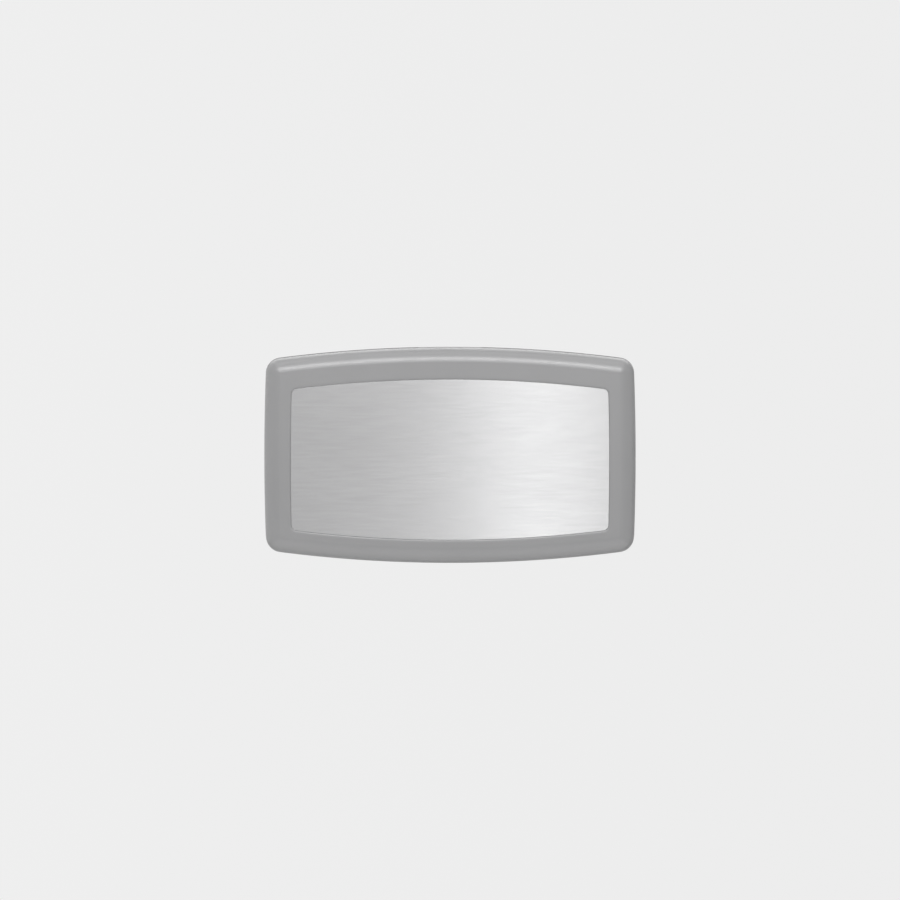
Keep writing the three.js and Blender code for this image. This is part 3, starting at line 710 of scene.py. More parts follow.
def bed_tray():
    top = spline([(0, RIM_F), (4, RIM_F + 1.2), (8.5, RIM_F + 5), (30, RIM_F + 34.5), (38, RIM_F + 41), (50, RIM_F + 44.8), (70, FLOOR_F)], 5)
    under = [(70, FLOOR_F + TRAY_T), (49, RIM_F + 48), (36, RIM_F + 43.6), (27, RIM_F + 36.5), (5.5, RIM_F + 7), (2, RIM_F + 4.2), (-1, RIM_F + TRAY_T)]
    rim = [bed_ring(0.5, RIM_F + TRAY_T)] + [bed_ring(0.5 + 1.6 * (1 - math.cos(a)), RIM_F + 1.6 * (1 - math.sin(a))) for a in quarter(4)]
    lead = [ring(BAS, -3.0, RIM_F), ring(BAS, -1.2, RIM_F + 0.05)]
    t = loft([ring(BAS, d, f) for d, f in under] + rim + lead + [ring(BAS, d, f) for d, f in top])
    bay = common(loft([bed_ring(0.5, FRONT_F), bed_ring(0.5, 0)]), block(-NOTCH_X - 3, NOTCH_X + 3, RIM_F, NOTCH_F + 3, -320, NOTCH_Z + 3))
    t = join(t, bay)
    t = cut(t, rbox(-NOTCH_X, NOTCH_X, -20, NOTCH_F, -340, NOTCH_Z, 1.2))
    for sg, _ in SIDES:
        w = common(loft([bed_ring(SHELL_T + GAP, FRONT_F), bed_ring(SHELL_T + GAP, 0)]),
                   prism(strut_cut(2.5), "x", *sx(sg, STRUT_X - 16.5, STRUT_X + 16.5)), block(-500, 500, RIM_F, 120, -320, 0))
        t = join(t, w)
        t = cut(t, prism(corners([(*p, 2.0) for p in strut_cut(0)], 2.0, 4), "x", *sx(sg, STRUT_X - 14, STRUT_X + 14)))
    for x in (-STUD_X, -75, 75, STUD_X):
        t = cut(t, bore("z", 2.6, NOTCH_Z - 1, NOTCH_Z + 5, (x, 48), 20))
    for sg, _ in SIDES:
        for z in (139, -121.5):
            t = cut(t, bore("f", 2.5, FLOOR_F - 3, FLOOR_F + 6, (sg * 24.5, z), 20))
    piece("bed_tray", t, angle=32)


def steel_insert():
    f0, f1, e = FRONT_F - INS_DEEP + GAP, FRONT_F - INS_DEEP + GAP + INS_T, 0.35
    rings = [ring(INS, 0, f0)] + [ring(INS, e * (1 - math.cos(a)), f1 - e + e * math.sin(a)) for a in quarter(3)]
    s = loft(rings)
    me = s.data
    uv = me.uv_layers.new(name="brush")
    for lp in me.loops:
        co = me.vertices[lp.vertex_index].co
        uv.data[lp.index].uv = (co.z / 1000 + 0.5, co.x / 1000 + 0.5)
    piece("steel_insert", s, angle=32)


# ---------------------------------------------------------------- wall unit
def rear_panel():
    e = 2.4
    p = loft([ring(OUT, e * (1 - math.sin(a)), PANEL_F - e + e * math.cos(a)) for a in quarter(5)]
             + [ring(OUT, 0, PANEL_F - 5), ring(OUT, 0, 0), ring(OUT, 4, 0), ring(OUT, 4, PANEL_F - 3)])
    # lower step, with a soft inner corner and a rounded brow
    p = join(p, common(panel_block(), block(-500, 500, STEP_F - 3, PANEL_F - 1, -320, STEP_Z + 3)))
    prof = [(80, -330), (STEP_F, -330)]
    prof += [(STEP_F + 5 - 5 * math.cos(a), STEP_Z - 5 + 5 * math.sin(a)) for a in quarter(6)]
    prof += [(PANEL_F - 3 + 3.02 * math.sin(a), STEP_Z + 3 - 3 * math.cos(a)) for a in quarter(5)]
    prof += [(80, STEP_Z + 3)]
    p = cut(p, prism(prof, "x", -520, 520))
    # finger scoop
    p = join(p, common(panel_block(), block(-83, 83, 7, PANEL_F - 1, 235, 320)))
    p = cut(p, rbox(-80, 80, 10, 90, 238, 380, 6, 5))
    for s, _ in SIDES:
        # strut pocket: an open box let into the step and the face
        x0, x1 = sx(s, STRUT_X - 16.2, STRUT_X + 16.2)
        p = cut(p, block(x0, x1, 3.6, 60, -234.2, -190.8))
        x0, x1 = sx(s, STRUT_X - 17, STRUT_X + 17)
        w = rbox(x0, x1, 2.8, PANEL_F - 0.2, -235, -190, 0.7)
        x0, x1 = sx(s, STRUT_X - 14, STRUT_X + 14)
        p = join(p, cut(w, rbox(x0, x1, 5, 60, -232, -193, 2.0, 3)))
        for z in WELL_Z:
            c = (s * STUD_X, z)
            p = join(p, rod("f", 18.4, 7.1, PANEL_F - 1, c, 0.4, 48))
            p = cut(p, lathe("f", [(0, 10), (14, 10), (15, 11.2), (15, PANEL_F - 2.2), (15.4, PANEL_F - 1.0), (16.6, PANEL_F + 0.05), (17.5, 60), (0, 60)], c, 56),
                    bore("f", 4.6, 0, 20, c, 32))
        for e0 in (STUD_X - 30, STUD_X + 30):
            a0, a1 = sx(s, e0 - 3.3, e0 + 3.3)
            p = cut(p, rbox(a0, a1, 6, 18, HINGE_Z - 10.5, HINGE_Z + 10.5, 1.0, 3))
        for r, x, z in ((3.3, 300, 236), (3.3, 446, 20), (2.5, HOOK_X, 78), (2.5, HOOK_X, 36), (2.5, BIN_SX, 65)):
            p = cut(p, bore("f", r, 20, 30, (s * x, z), 20))
    # painted shade: the upward-facing front rim edge, in the seam behind the bed, is marked for a near-black seam
    # shadow
    kd = KDTree(len(OUT))
    for i, q in enumerate(OUT):
        kd.insert((q[0], 0, q[1]), i)
    kd.balance()
    dust_and_seam_shade = p.data.attributes.new("dust_and_seam_shade", "FLOAT", "POINT")
    for v in p.data.vertices:
        i = kd.find((v.co.x, 0, v.co.z))[1]
        q = OUT[i]
        inset = (q[0] - v.co.x) * q[2] + (q[1] - v.co.z) * q[3]
        up = min(1.0, max(0.0, q[3] / 0.5))
        dust_and_seam_shade.data[v.index].value = up if -v.co.y > PANEL_F - 4.5 and inset < 2.2 else 0.0
    piece("rear_panel", p, angle=32)


def back_plate():
    b = loft([ring(OUT, 5.0, 2.4), ring(OUT, 4.4, 1.9), ring(OUT, 4.4, 0.5), ring(OUT, 4.9, 0)])
    for s, _ in SIDES:
        for z in WELL_Z:
            b = cut(b, bore("f", 5, -1, 5, (s * STUD_X, z), 30))
    # shallow coffers between ribs, the bolt holes on the crossings
    for i in range(-4, 4):
        x0, x1 = i * 101.6 + 7, (i + 1) * 101.6 - 7
        for z0, z1 in ((7, 143), (-143, -7), (157, 238), (-238, -157)):
            o = rr_outline(x0, x1, z0, z1, 10, 6)
            b = cut(b, loft([ring(o, -0.6, -1), ring(o, -0.6, 0.0), ring(o, 0.0, 0.5), ring(o, 0.6, 1.0)]))
    piece("back_plate", b)


def wall_brackets():
    for s, side in SIDES:
        x = s * STUD_X
        b = rbox(x - 36, x + 36, 2.8, 6.8, -256, 215, 0.8, 3)
        for z in WELL_Z:
            b = cut(b, bore("f", 4.5, 0, 10, (x, z), 32))
        for e0 in (STUD_X - 30, STUD_X + 30):
            a0, a1 = sx(s, e0 - 2.5, e0 + 2.5)
            outline = [(4, HINGE_Z - EAR_R), (4, HINGE_Z + EAR_R)]
            outline += [(HINGE_F + EAR_R * math.sin(t), HINGE_Z + EAR_R * math.cos(t)) for t in [PI * i / 24 for i in range(25)]]
            b = join(b, prism(outline, "x", a0, a1, 0.5))
            b = cut(b, bore("x", ROD_HOLE, a0 - 1, a1 + 1, (HINGE_F, HINGE_Z), 40))
        piece("wall_bracket_" + side, b)


def hinge():
    piece("hinge_rod", rod("x", ROD_R, -338, 338, (HINGE_F, HINGE_Z), 0.8, 40))
    for s, side in SIDES:
        a0, a1 = sx(s, 331, 343)
        inner, outer = (a0, a1) if s > 0 else (a1, a0)
        d = 1 if s > 0 else -1
        prof = [(ROD_HOLE, inner), (7.9, inner), (8.6, inner + d * 0.7), (8.6, inner + d * 8), (8.3, inner + d * 9.6), (7.2, inner + d * 11.2), (5.6, outer), (0, outer),
                (0, 338.3 * d), (ROD_HOLE, 338.3 * d)]
        piece("rod_cap_" + side, lathe("x", prof[:8] + prof[8:], (HINGE_F, HINGE_Z), 44, closed=True))
    angle = corners([(34, -232.4, 0.6), (62, -232.4, 1.6), (62, -254, 0.6), (59.3, -254, 0.6), (59.3, -234.9, 2.6), (34, -234.9, 0.6)], 0, 4)
    leaf = prism(angle, "x", -330, 330, 0.4)
    for a, b in ((-40, 40), (110, 166), (-166, -110), (240, 330), (-330, -240)):
        leaf = join(leaf, rod("x", KNUCKLE_R, a, b, (HINGE_F, HINGE_Z), 0.6, 48), block(a + 0.7, b - 0.7, 55, 60.5, HINGE_Z - 4.9, HINGE_Z + 4.9))
    leaf = cut(leaf, bore("x", ROD_HOLE, -400, 400, (HINGE_F, HINGE_Z), 40))
    for x in (-STUD_X, -75, 75, STUD_X):
        leaf = cut(leaf, bore("z", 2.6, -240, -230, (x, 48), 20))
    piece("hinge_leaf", leaf)


# ---------------------------------------------------------------- screws
def screw(node, axis, c, tip, under, top, r, rs):
    """Pan head screw with a cross recess: tip is the end of the shank, under and top the head's two planes."""
    h, d = abs(top - under), (1 if top > under else -1)
    prof = [(0, tip), (rs * 0.45, tip), (rs, tip + d * rs), (rs, under), (r - 0.25, under), (r, under + d * 0.22)]
    for t in (0.25, 0.5, 0.75, 0.9):
        a = t * PI / 2
        prof.append((r * (0.42 + 0.58 * math.cos(a)), under + d * (0.35 + (h - 0.35) * math.sin(a))))
    prof += [(r * 0.25, top), (0, top)]
    s = lathe(axis, prof, c, 32)
    w, q = 0.24 * r * 0.5, 0.55 * r
    lo, hi = sorted((top - d * min(1.2, h * 0.62), top + d * 1.0))
    for bu, bv in ((w, q), (q, w)):
        if axis == "f":
            s = cut(s, block(c[0] - bu, c[0] + bu, lo, hi, c[1] - bv, c[1] + bv))
        else:
            s = cut(s, block(c[0] - bu, c[0] + bu, c[1] - bv, c[1] + bv, lo, hi))
    piece(node, s)


def screws():
    for i, x in enumerate((-STUD_X, -75, 75, STUD_X)):
        screw("leaf_screw_%d" % (i + 1), "z", (x, 48), -216, -235.2, -237.3, 4.6, 2.2)
    for s, side in SIDES:
        screw("bin_screw_" + side, "f", (s * BIN_SX, 65), 18, BIN_F0 + 2.2 + GAP, 32.6, 4.2, 2.0)
        for i, z in enumerate((78, 36)):
            screw("hook_screw_%s_%d" % (side, i + 1), "f", (s * HOOK_X, z), 18, 31.5 + GAP, 33.6, 4.2, 2.0)
        for tag, z in (("front", 139), ("rear", -121.5)):
            screw("anchor_screw_%s_%s" % (tag, side), "f", (s * 24.5, z), 84, 73.4 - GAP, 71.4, 4.0, 2.0)


# ---------------------------------------------------------------- liner dispenser
def dispenser():
    # back and floor, with the catch for the lock cam and the lugs for the lid pin
    b = join(rbox(-BIN_HX, BIN_HX, BIN_F0, BIN_F0 + 2.2, BIN_Z0, BIN_Z1, 0.6, 3), rbox(-BIN_HX, BIN_HX, BIN_F0 + 0.2, BIN_F1 - 3, BIN_Z0, BIN_Z0 + 3, 0.6, 3), rbox(12, 24, BIN_F0 + 1, 58, 140.5, 143.5, 0.5))
    for s, _ in SIDES:
        l0, l1 = sx(s, 96, 108)
        b = join(b, rod("x", 4.2, l0, l1, (LID_F, LID_Z), 0.5, 40), rbox(l0, l1, BIN_F0 + 1, LID_F + 4.2, 138, 149.5, 0.8, 3), block(l0 + 0.6, l1 - 0.6, LID_F, LID_F + 4.1, 148.5, LID_Z))
        b = cut(b, bore("x", 1.8 + GAP, l0 - 1, l1 + 1, (LID_F, LID_Z), 28), bore("f", 2.5, 20, 40, (s * BIN_SX, 65), 20))
    piece("dispenser_bin", b)
    # cheeks, with a shallow coffer moulded in the outer face
    for s, side in SIDES:
        c0, c1 = sx(s, BIN_HX - 3, BIN_HX)
        g = rbox(c0, c1, BIN_F0 + 2.2 + GAP, BIN_F1 - 3, BIN_Z0 + 3 + GAP, BIN_Z1, 0.7, 3)
        w0, w1 = sx(s, BIN_HX - 0.7, BIN_HX + 6)
        g = cut(g, rbox(w0, w1, BIN_F0 + 9, BIN_F1 - 9, BIN_Z0 + 12, BIN_Z1 - 9, 0.65, 3))
        piece("dispenser_cheek_" + side, g)
    # front plate: rounded brow, slot with a rolled edge
    front = prism(corners([(-BIN_HX, BIN_Z1, 0), (-BIN_HX, BIN_Z0, 2.5), (BIN_HX, BIN_Z0, 2.5), (BIN_HX, BIN_Z1, 0)], 0, 8), "f", BIN_F1 - 3 + GAP, BIN_F1, 1.1, 4)
    o = rr_outline(-90, 90, 2, 32, 14.9, 14)
    front = cut(front, loft([ring(o, -0.8, BIN_F1 - 6), ring(o, -0.8, BIN_F1 - 2.6), ring(o, 0, BIN_F1 - 1.9), ring(o, 0, BIN_F1 - 1.5), ring(o, -0.5, BIN_F1 - 0.7), ring(o, -1.7, BIN_F1 + 0.02), ring(o, -2.4, BIN_F1 + 6)]))
    piece("dispenser_front", front)
    lid = prism(corners([(LID_F, 150.5, 0.8), (BIN_F1 + GAP, 150.5, 0.8), (BIN_F1 + GAP, 138, 0.8), (69.3, 138, 0.8), (69.3, LID_Z, 2.0), (LID_F, LID_Z, 0.8)], 0, 6), "x", -BIN_HX, BIN_HX, 0.9, 3)
    lid = cut(lid, rbox(-120, 120, LID_F - 12, LID_F + 5, 130, 170, 1.5, 3))
    lid = join(lid, rbox(-95.5, 95.5, LID_F + 0.5, LID_F + 6.5, 150.6, LID_Z - 0.1, 0.5), rod("x", 3.6, -95.4, 95.4, (LID_F, LID_Z), 0.4, 40))
    # a thumb recess in the lip
    lid = cut(lid, rod("f", 9, 68.3, 80, (0, 136.0), 0.6, 48))
    lid = cut(lid, bore("x", 1.8 + GAP, -100, 100, (LID_F, LID_Z), 28), bore("z", 8.3, 140, 160, (0, LOCK_F), 40))
    piece("dispenser_lid", lid)
    piece("lid_pin", rod("x", 1.8, -110, 110, (LID_F, LID_Z), 0.4, 28))

    c = (0, LOCK_F)
    prof = [(6.0, 141), (7.6, 141), (8.0, 141.4)]
    z = 142.2
    while z < 146.0:                                   # thread below the nut
        prof += [(8.0, z), (7.55, z + 0.35), (8.0, z + 0.7)]
        z += 0.9
    prof += [(8.0, LID_Z + GAP), (9.7, LID_Z + GAP), (10.0, LID_Z + GAP + 0.35), (9.8, 155.0), (9.0, 155.35), (7.2, 155.4), (6.3, 155.1), (6.0, 154.8)]
    piece("lock_barrel", lathe("z", prof, c, 48, closed=True))
    nut = cut(lathe("z", [(0, 146.6), (10.2, 146.6), (11, 147.1), (11, 149.7), (10.2, 150.2), (0, 150.2)], c, 6), bore("z", 8.3, 140, 160, c, 40))
    piece("lock_nut", nut)
    plug = rod("z", 5.7, 139.3, 155, c, 0.35, 44)
    plug = cut(plug, rbox(-0.6, 0.6, LOCK_F - 4, LOCK_F + 4, 152, 160, 0.25), rod("z", 1.15, 152.6, 160, c, 0, 20))
    piece("lock_plug", plug)
    piece("lock_cam", join(rbox(-5, 5, LOCK_F - 18, LOCK_F, 137, 139, 0.4), rod("z", 5, 137, 139, c, 0.35, 36)))


# ---------------------------------------------------------------- bag hooks and bumpers
def hooks():
    j = [(30.5, 69), (30.5, 49), (36, 45), (42, 41.6), (48.5, 40), (55, 41.3), (60, 46), (61.6, 53), (61.5, 66), (61.3, 71), (58.9, 73.6), (56.2, 71.4), (55.7, 66),
         (55.6, 55), (54, 50.3), (49.3, 47.5), (44, 49.4), (39.4, 55), (36.6, 62), (35.2, 68)]
    for s, side in SIDES:
        x = s * HOOK_X
        o = rr_outline(x - 14, x + 14, 26, 88, 9, 8)
        f0, f1, e = PANEL_F + GAP, 31.5, 1.2
        h = loft([ring(o, 0.3, f0), ring(o, 0, f0 + 0.3)] + [ring(o, e * (1 - math.cos(a)), f1 - e + e * math.sin(a)) for a in quarter(4)])
        h = join(h, prism(chaikin(j, 2), "x", x - 9, x + 9, 1.9, 4))
        h = cut(h, bore("f", 2.5, 20, 40, (x, 78), 20), bore("f", 2.5, 20, 40, (x, 36), 20))
        piece("bag_hook_" + side, h)


def bumpers():
    for s, side in SIDES:
        for tag, x, z in (("top", 300, 236), ("side", 446, 20)):
            c = (s * x, z)
            prof = [(0, 22), (2.4, 22), (3, 22.8), (3, PANEL_F + GAP), (7.5, PANEL_F + GAP), (8, PANEL_F + GAP + 0.4), (8, 29.9), (7.6, 30.9), (6.7, 31.5), (5.4, RIM_F - GAP), (3.0, RIM_F - GAP), (2.2, 31.2), (0, 31.0)]
            piece("bumper_%s_%s" % (tag, side), lathe("f", prof, c, 40))


# ---------------------------------------------------------------- gas struts
def struts():
    af, bf, pz = HINGE_F - STRUT_A, HINGE_F + STRUT_A, HINGE_Z + STRUT_A
    for s, side in SIDES:
        x = s * STRUT_X
        w = rbox(x - 12, x + 12, 5.3, 7.6, -230, -195, 0.4)
        for c in (-6.2, 6.2):
            ear = [(6, pz - 6.5), (6, pz + 6.5)] + [(af + 6.5 * math.sin(t), pz + 6.5 * math.cos(t)) for t in [PI * i / 20 for i in range(21)]]
            w = join(w, prism(ear, "x", x + c - 1.6, x + c + 1.6, 0.35))
        w = cut(w, bore("x", 3 + GAP, x - 20, x + 20, (af, pz), 28))
        piece("strut_wall_clevis_" + side, w)
        b = rbox(x - 12, x + 12, 74, 92.6, -193, -190.3, 0.4)
        for c in (-6.2, 6.2):
            ear = [(bf + 6.3, -192), (bf - 6.3, -192)] + [(bf - 6.3 * math.cos(t), pz - 6.3 * math.sin(t)) for t in [PI * i / 20 for i in range(21)]]
            b = join(b, prism(ear, "x", x + c - 1.6, x + c + 1.6, 0.35))
        b = cut(b, bore("x", 3 + GAP, x - 20, x + 20, (bf, pz), 28))
        piece("strut_bed_clevis_" + side, b)
        for tag, f in (("wall", af), ("bed", bf)):
            prof = [(0, x - 9.6), (2.6, x - 9.6), (3, x - 9.2), (3, x - 8.9), (2.4, x - 8.8), (2.4, x - 8.2), (3, x - 8.1), (3, x + 8.2), (4.3, x + 8.2), (4.6, x + 8.5), (4.6, x + 9.4), (4.1, x + 9.9), (0, x + 10)]
            piece("strut_%s_pin_%s" % (tag, side), lathe("x", prof, (f, pz), 32))
        r = lathe("f", [(0, af), (3.6, af), (3.6, af + 52.4), (5.9, af + 52.4), (6.2, af + 52.8), (6.2, af + 53.9), (5.5, af + 54.1), (5.5, af + 55.3), (6.2, af + 55.5), (6.2, af + 56.9), (5.9, af + 57.3), (0, af + 57.3)], (x, pz), 36)
        r = join(r, rod("x", 6, x - 4, x + 4, (af, pz), 0.5, 36), lathe("f", [(0, af), (4.2, af), (4.2, af + 6.8), (3.6, af + 7.6), (0, af + 7.6)], (x, pz), 36))
        r = cut(r, bore("x", 3 + GAP, x - 10, x + 10, (af, pz), 28))
        piece("strut_rod_" + side, r)
        tube = [(4.1, bf - 53.6), (4.6, bf - 54), (7.3, bf - 54), (8.2, bf - 53.2), (8.5, bf - 52), (8.5, bf - 49.6), (8.1, bf - 49.1), (8.1, bf - 48.2), (8.5, bf - 47.7), (8.5, bf - 11.4), (8.2, bf - 9.6), (7.2, bf - 8.4), (5.4, bf - 8), (0, bf - 8),
                (0, bf - 14), (6.8, bf - 14), (6.8, bf - 50), (4.1, bf - 50)]
        cyl = lathe("f", tube, (x, pz), 44, closed=True)
        cyl = join(cyl, rod("x", 6, x - 4, x + 4, (bf, pz), 0.5, 36), rbox(x - 4, x + 4, bf - 10, bf, pz - 5, pz + 5, 0.6))
        cyl = cut(cyl, bore("x", 3 + GAP, x - 10, x + 10, (bf, pz), 28))
        piece("strut_cylinder_" + side, cyl)


# ---------------------------------------------------------------- safety strap
def ribbon(path, t, hw, n=26):
    """Webbing along a centre line of (f, z) points: rounded selvedges, a touch thicker at the edge."""
    line = spline(path, 5)
    rings = []
    for i, (f, z) in enumerate(line):
        p0, p1 = line[max(0, i - 1)], line[min(len(line) - 1, i + 1)]
        d = math.hypot(p1[0] - p0[0], p1[1] - p0[1])
        nf, nz = -(p1[1] - p0[1]) / d, (p1[0] - p0[0]) / d
        upper, lower = [], []
        for k in range(n + 1):
            u = -math.cos(PI * k / n)
            h = t / 2 * max(0.0, 1 - abs(u) ** 26) ** 0.5 * (0.93 + 0.07 * min(1.0, (abs(u) / 0.86) ** 8))
            if 0 < k < n:
                upper.append((u * hw, f + nf * h, z + nz * h))
                lower.append((u * hw, f - nf * h, z - nz * h))
            else:
                upper.append((u * hw, f, z))
        rings.append(upper + lower[::-1])
    return loft(rings)


def stitch(x, f, z, dx, dz, length=2.6, r=0.34):
    """One stitch: a small plump capsule lying in the webbing's face."""
    n = 6
    d = math.hypot(dx, dz)
    ux, uz = dx / d, dz / d
    rings = []
    for t, k in ((-0.5, 0.25), (-0.34, 0.85), (0, 1.0), (0.34, 0.85), (0.5, 0.25)):
        cx, cz = x + ux * t * length, z + uz * t * length
        rings.append([(cx - uz * r * k * math.cos(a), f + r * 0.8 * k * math.sin(a), cz + ux * r * k * math.cos(a)) for a in [2 * PI * i / n for i in range(n)]])
    verts = [p for rg in rings for p in rg]
    faces = [(k * n + i, k * n + (i + 1) % n, (k + 1) * n + (i + 1) % n, (k + 1) * n + i) for k in range(4) for i in range(n)]
    faces += [tuple(range(n)), tuple(range(4 * n, 5 * n))[::-1]]
    return verts, faces


def sew(name, lines, f, pitch=3.4):
    verts, faces = [], []
    for (x0, z0), (x1, z1) in lines:
        d = math.hypot(x1 - x0, z1 - z0)
        m = max(2, int(d / pitch))
        for i in range(m):
            t = (i + 0.5) / m
            v, fc = stitch(x0 + (x1 - x0) * t, f, z0 + (z1 - z0) * t, x1 - x0, z1 - z0)
            faces += [tuple(len(verts) + q for q in p) for p in fc]
            verts += v
    ob = skin(verts, faces)
    ob.name = name
    ob.data.name = name
    finish_mesh(ob, 60, False)
    ob.data.materials.append(THREAD)
    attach(ob, "bed")


def frame_lines(x0, x1, z0, z1):
    return [((x0, z0), (x1, z0)), ((x1, z0), (x1, z1)), ((x1, z1), (x0, z1)), ((x0, z1), (x0, z0))]


def strap():
    floor_top = FLOOR_F - GAP
    for tag, z0, z1 in (("front", 128, 150), ("rear", -131, -112)):
        zm = (z0 + z1) / 2
        o = rr_outline(-30, 30, z0, z1, 5, 7)
        a = loft([ring(o, e, f) for e, f in ((0.4, 75.4), (0, 75.0), (0, 74.3), (0.25, 73.8), (0.8, 73.5), (1.7, 73.4))])
        a = join(a, rbox(-29, -20, 74.6, floor_top, z0 + 1, z1 - 1, 0.5), rbox(20, 29, 74.6, floor_top, z0 + 1, z1 - 1, 0.5))
        a = cut(a, bore("f", 2.5, 70, 80, (-24.5, zm), 20), bore("f", 2.5, 70, 80, (24.5, zm), 20))
        piece("strap_anchor_" + tag, a)
    piece("strap_long", ribbon([(76.85, 148), (76.85, 120), (76.85, 90), (76.85, 50), (76.85, 10), (76.85, -18), (76.2, -24), (72.9, -33.5), (72.3, -37), (72.3, -50), (72.3, -66), (71.3, -72), (70.6, -77),
                                (70.8, -81), (72.2, -88), (72.7, -98), (72.1, -110), (72.0, -134), (71.8, -152)], 1.5, 19), angle=60, weighted=False)
    piece("strap_short", ribbon([(76.8, -130), (76.8, -110), (76.8, -90), (76.8, -78.2), (76.3, -76.7), (74.5, -75.8), (73.0, -76.5), (72.5, -78), (72.5, -80.2),
                                 (73.2, -82.2), (74.6, -84.2), (74.7, -90), (74.7, -97)], 1.4, 19), angle=60, weighted=False)
    box_x = frame_lines(-14.5, 14.5, 100, 123) + [((-14.5, 100), (14.5, 123)), ((-14.5, 123), (14.5, 100))]
    sew("strap_stitching_front", box_x, 76.15)
    sew("strap_stitching_end", [((-15.5, -146.5), (15.5, -146.5)), ((-15.5, -141.5), (15.5, -141.5))], 71.12)


def buckle():
    pf, pzb = 65.6, -58
    o = rr_outline(-24.5, 24.5, -80, -36, 3.5, 6)
    e = 0.5
    fr = loft([ring(o, e * (1 - math.sin(a)), 73.6 + e * (1 - math.cos(a)) ) for a in quarter(3)] + [ring(o, 0, 75.4 - e)] + [ring(o, e * (1 - math.cos(a)), 75.4 - e + e * math.sin(a)) for a in quarter(3)][1:])
    for s, _ in SIDES:
        c0, c1 = sx(s, 20.9, 24.4)
        side = corners([(74.5, -68, 0), (66, -68, 5), (61.2, -62, 4), (61.2, -53.5, 4), (66, -47, 5), (74.5, -47, 0)], 0, 5)
        fr = join(fr, prism(side, "x", c0, c1, 0.5))
    fr = cut(fr, bore("x", 2 + GAP, -30, 30, (pf, pzb), 28), rbox(-19.7, 19.7, 65, 85, -77.6, -73.2, 0.8))
    piece("buckle_frame", fr)
    piece("buckle_pin", lathe("x", [(0, -25.4), (1.2, -25.4), (1.9, -25.1), (2, -24.6), (2, 24.6), (1.9, 25.1), (1.2, 25.4), (0, 25.4)], (pf, pzb), 28))
    body = corners([(67.5, -62.8, 1), (63, -62.6, 2), (60.9, -59, 3), (61.3, -48, 8), (62.2, -34, 8), (61.2, -26.5, 1.0), (63.3, -25.4, 1.0), (65.2, -33, 8), (67, -46, 8), (69.5, -54.5, 2)], 2, 5)
    lv = join(rod("x", 5.5, -20.4, 20.4, (pf, pzb), 0.5, 45), prism(body, "x", -20.35, 20.35, 0.5, 3))
    # pressed grip ribs near the lever's lip
    for z in (-31.5, -34.5, -37.5):
        lv = join(lv, rod("x", 0.6, -14, 14, (61.75 + (z + 34.5) * -0.02, z), 0.3, 16))
    # teeth that bite the webbing
    for a in (-0.35, -0.15, 0.05, 0.25):
        c, sn = math.cos(a), math.sin(a)
        tooth = [(4.6, -0.5), (5.78, 0.0), (4.6, 0.5)]
        lv = join(lv, prism([(pf + r * c - t * sn, pzb + r * sn + t * c) for r, t in tooth], "x", -17.5, 17.5))
    lv = cut(lv, bore("x", 2 + GAP, -30, 30, (pf, pzb), 28))
    piece("buckle_lever", lv)


bed_outer_shell()
bed_tray()
steel_insert()
rear_panel()
back_plate()
wall_brackets()
hinge()
screws()
dispenser()
hooks()
bumpers()
struts()
strap()
buckle()

# ---------------------------------------------------------------- stage
def sheet_of(name, corners4):
    bm = bmesh.new()
    for c in corners4:
        bm.verts.new(c)
    bm.faces.new(bm.verts)
    me = bpy.data.meshes.new(name)
    bm.to_mesh(me)
    bm.free()
    ob = link(me, name)
    return ob


def floor():
    """Pale floor that fades out well before its edge, and is clear from below."""
    ob = sheet_of("floor", ((-4.4, -4.4, -1.6), (4.4, -4.4, -1.6), (4.4, 4.4, -1.6), (-4.4, 4.4, -1.6)))
    m, nt, b = tree("pale floor")
    nt.links.new(ramp(nt, noise(nt, coords(nt), 3.0), [(0.3, (0.85, 0.85, 0.85)), (0.7, (0.88, 0.88, 0.88))]), b.inputs["Base Color"])
    b.inputs["Roughness"].default_value = 0.7
    b.inputs["Emission Color"].default_value = (1, 1, 1, 1)
    b.inputs["Emission Strength"].default_value = 0.36
    far = nt.nodes.new("ShaderNodeVectorMath")
    far.operation = "LENGTH"
    nt.links.new(coords(nt), far.inputs[0])
    gone = nt.nodes.new("ShaderNodeMapRange")
    gone.interpolation_type = "SMOOTHSTEP"
    gone.inputs["From Min"].default_value, gone.inputs["From Max"].default_value = 2.9, 4.65
    nt.links.new(far.outputs["Value"], gone.inputs["Value"])
    geo = nt.nodes.new("ShaderNodeNewGeometry")
    clear, mix = nt.nodes.new("ShaderNodeBsdfTransparent"), nt.nodes.new("ShaderNodeMixShader")
    nt.links.new(math2(nt, "MAXIMUM", gone.outputs["Result"], geo.outputs["Backfacing"]), mix.inputs[0])
    nt.links.new(b.outputs[0], mix.inputs[1])
    nt.links.new(clear.outputs[0], mix.inputs[2])
    nt.links.new(mix.outputs[0], next(n for n in nt.nodes if n.type == "OUTPUT_MATERIAL").inputs["Surface"])
    ob.data.materials.append(m)


def flag(name, corners4):
    """A dark studio card, out of the picture, that shades the edges turned away from the light."""
    ob = sheet_of(name, corners4)
    m, nt, b = tree(name + " cloth")
    nt.links.new(ramp(nt, noise(nt, coords(nt), 40.0), [(0.3, (0.44, 0.44, 0.44)), (0.7, (0.48, 0.48, 0.48))]), b.inputs["Base Color"])
    b.inputs["Roughness"].default_value = 0.9
    ob.data.materials.append(m)
    ob.visible_camera = False


floor()
flag("flag_low", ((-1.5, 0.14, -0.75), (1.5, 0.14, -0.75), (1.5, 1.5, -0.75), (-1.5, 1.5, -0.75)))
flag("flag_right", ((1.15, 0.14, -0.8), (1.15, 1.5, -0.8), (1.15, 1.5, 0.8), (1.15, 0.14, 0.8)))

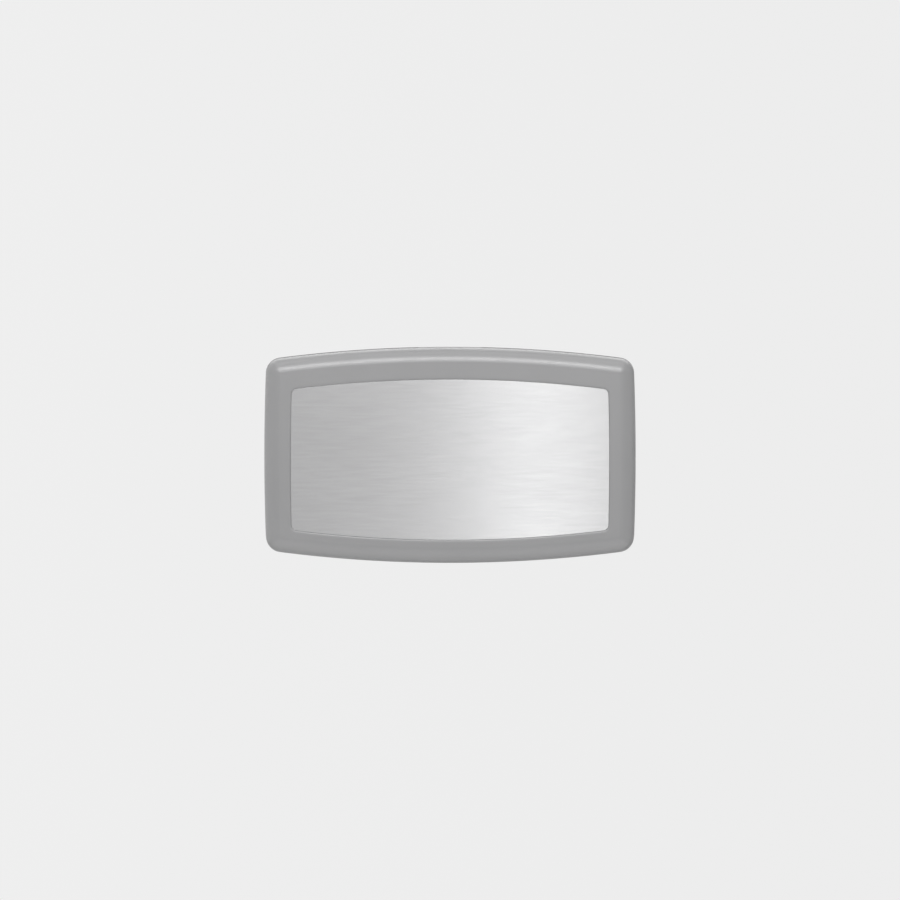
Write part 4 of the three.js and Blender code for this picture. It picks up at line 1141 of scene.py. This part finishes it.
world = bpy.data.worlds.new("studio")
bpy.context.scene.world = world
world.use_nodes = True
wt = world.node_tree
wt.nodes.clear()
w_out = wt.nodes.new("ShaderNodeOutputWorld")
w_bg = wt.nodes.new("ShaderNodeBackground")
w_tc = wt.nodes.new("ShaderNodeTexCoord")
w_sp = wt.nodes.new("ShaderNodeSeparateXYZ")
wt.links.new(w_tc.outputs["Generated"], w_sp.inputs[0])
w_val = None
for k in (0.32, -0.08, 0.85):                           # 0.85 - 0.08 x + 0.32 x^2
    if w_val is None:
        w_val = k
        continue
    w_ma = wt.nodes.new("ShaderNodeMath")
    w_ma.operation = "MULTIPLY_ADD"
    wt.links.new(w_sp.outputs["X"], w_ma.inputs[0])
    if isinstance(w_val, float):
        w_ma.inputs[1].default_value = w_val
    else:
        wt.links.new(w_val, w_ma.inputs[1])
    w_ma.inputs[2].default_value = k
    w_val = w_ma.outputs[0]
wt.links.new(w_val, w_bg.inputs["Strength"])
w_bg.inputs["Color"].default_value = (1.0, 1.0, 1.0, 1)
wt.links.new(w_bg.outputs[0], w_out.inputs[0])


def lamp(name, loc, target, sx_, sy_, watts):
    d = bpy.data.lights.new(name, "AREA")
    d.shape = "RECTANGLE"
    d.size, d.size_y, d.energy = sx_, sy_, watts
    o = bpy.data.objects.new(name, d)
    bpy.context.scene.collection.objects.link(o)
    o.location = loc
    o.rotation_euler = (Vector(target) - Vector(loc)).to_track_quat("-Z", "Y").to_euler()
    return o


lamp("softbox", (0.0, -2.45, 1.78), (0, 0, 0.1), 3.4, 0.8, 70)
lamp("strip", (0.49, -14.1, 0.2), (0.2, 0, 0), 0.4, 8.0, 34.5)
lamp("top_back", (0.0, 1.5, 1.9), (0, -0.05, 0.2), 4.0, 0.7, 24)
lamp("overhead", (0.0, -0.45, 2.3), (0, -0.05, 0.2), 3.6, 0.9, 13)

cam = bpy.data.cameras.new("camera")
cam.lens, cam.sensor_width, cam.sensor_fit = 200.0, 36.0, "AUTO"
cam.clip_start, cam.clip_end = 0.05, 60
cam_ob = bpy.data.objects.new("camera", cam)
bpy.context.scene.collection.objects.link(cam_ob)
cam_ob.location = (0, -12.655, 0.0123)
cam_ob.rotation_euler = (PI / 2, 0, 0)
bpy.context.scene.camera = cam_ob
bpy.context.scene.view_settings.view_transform = "Standard"
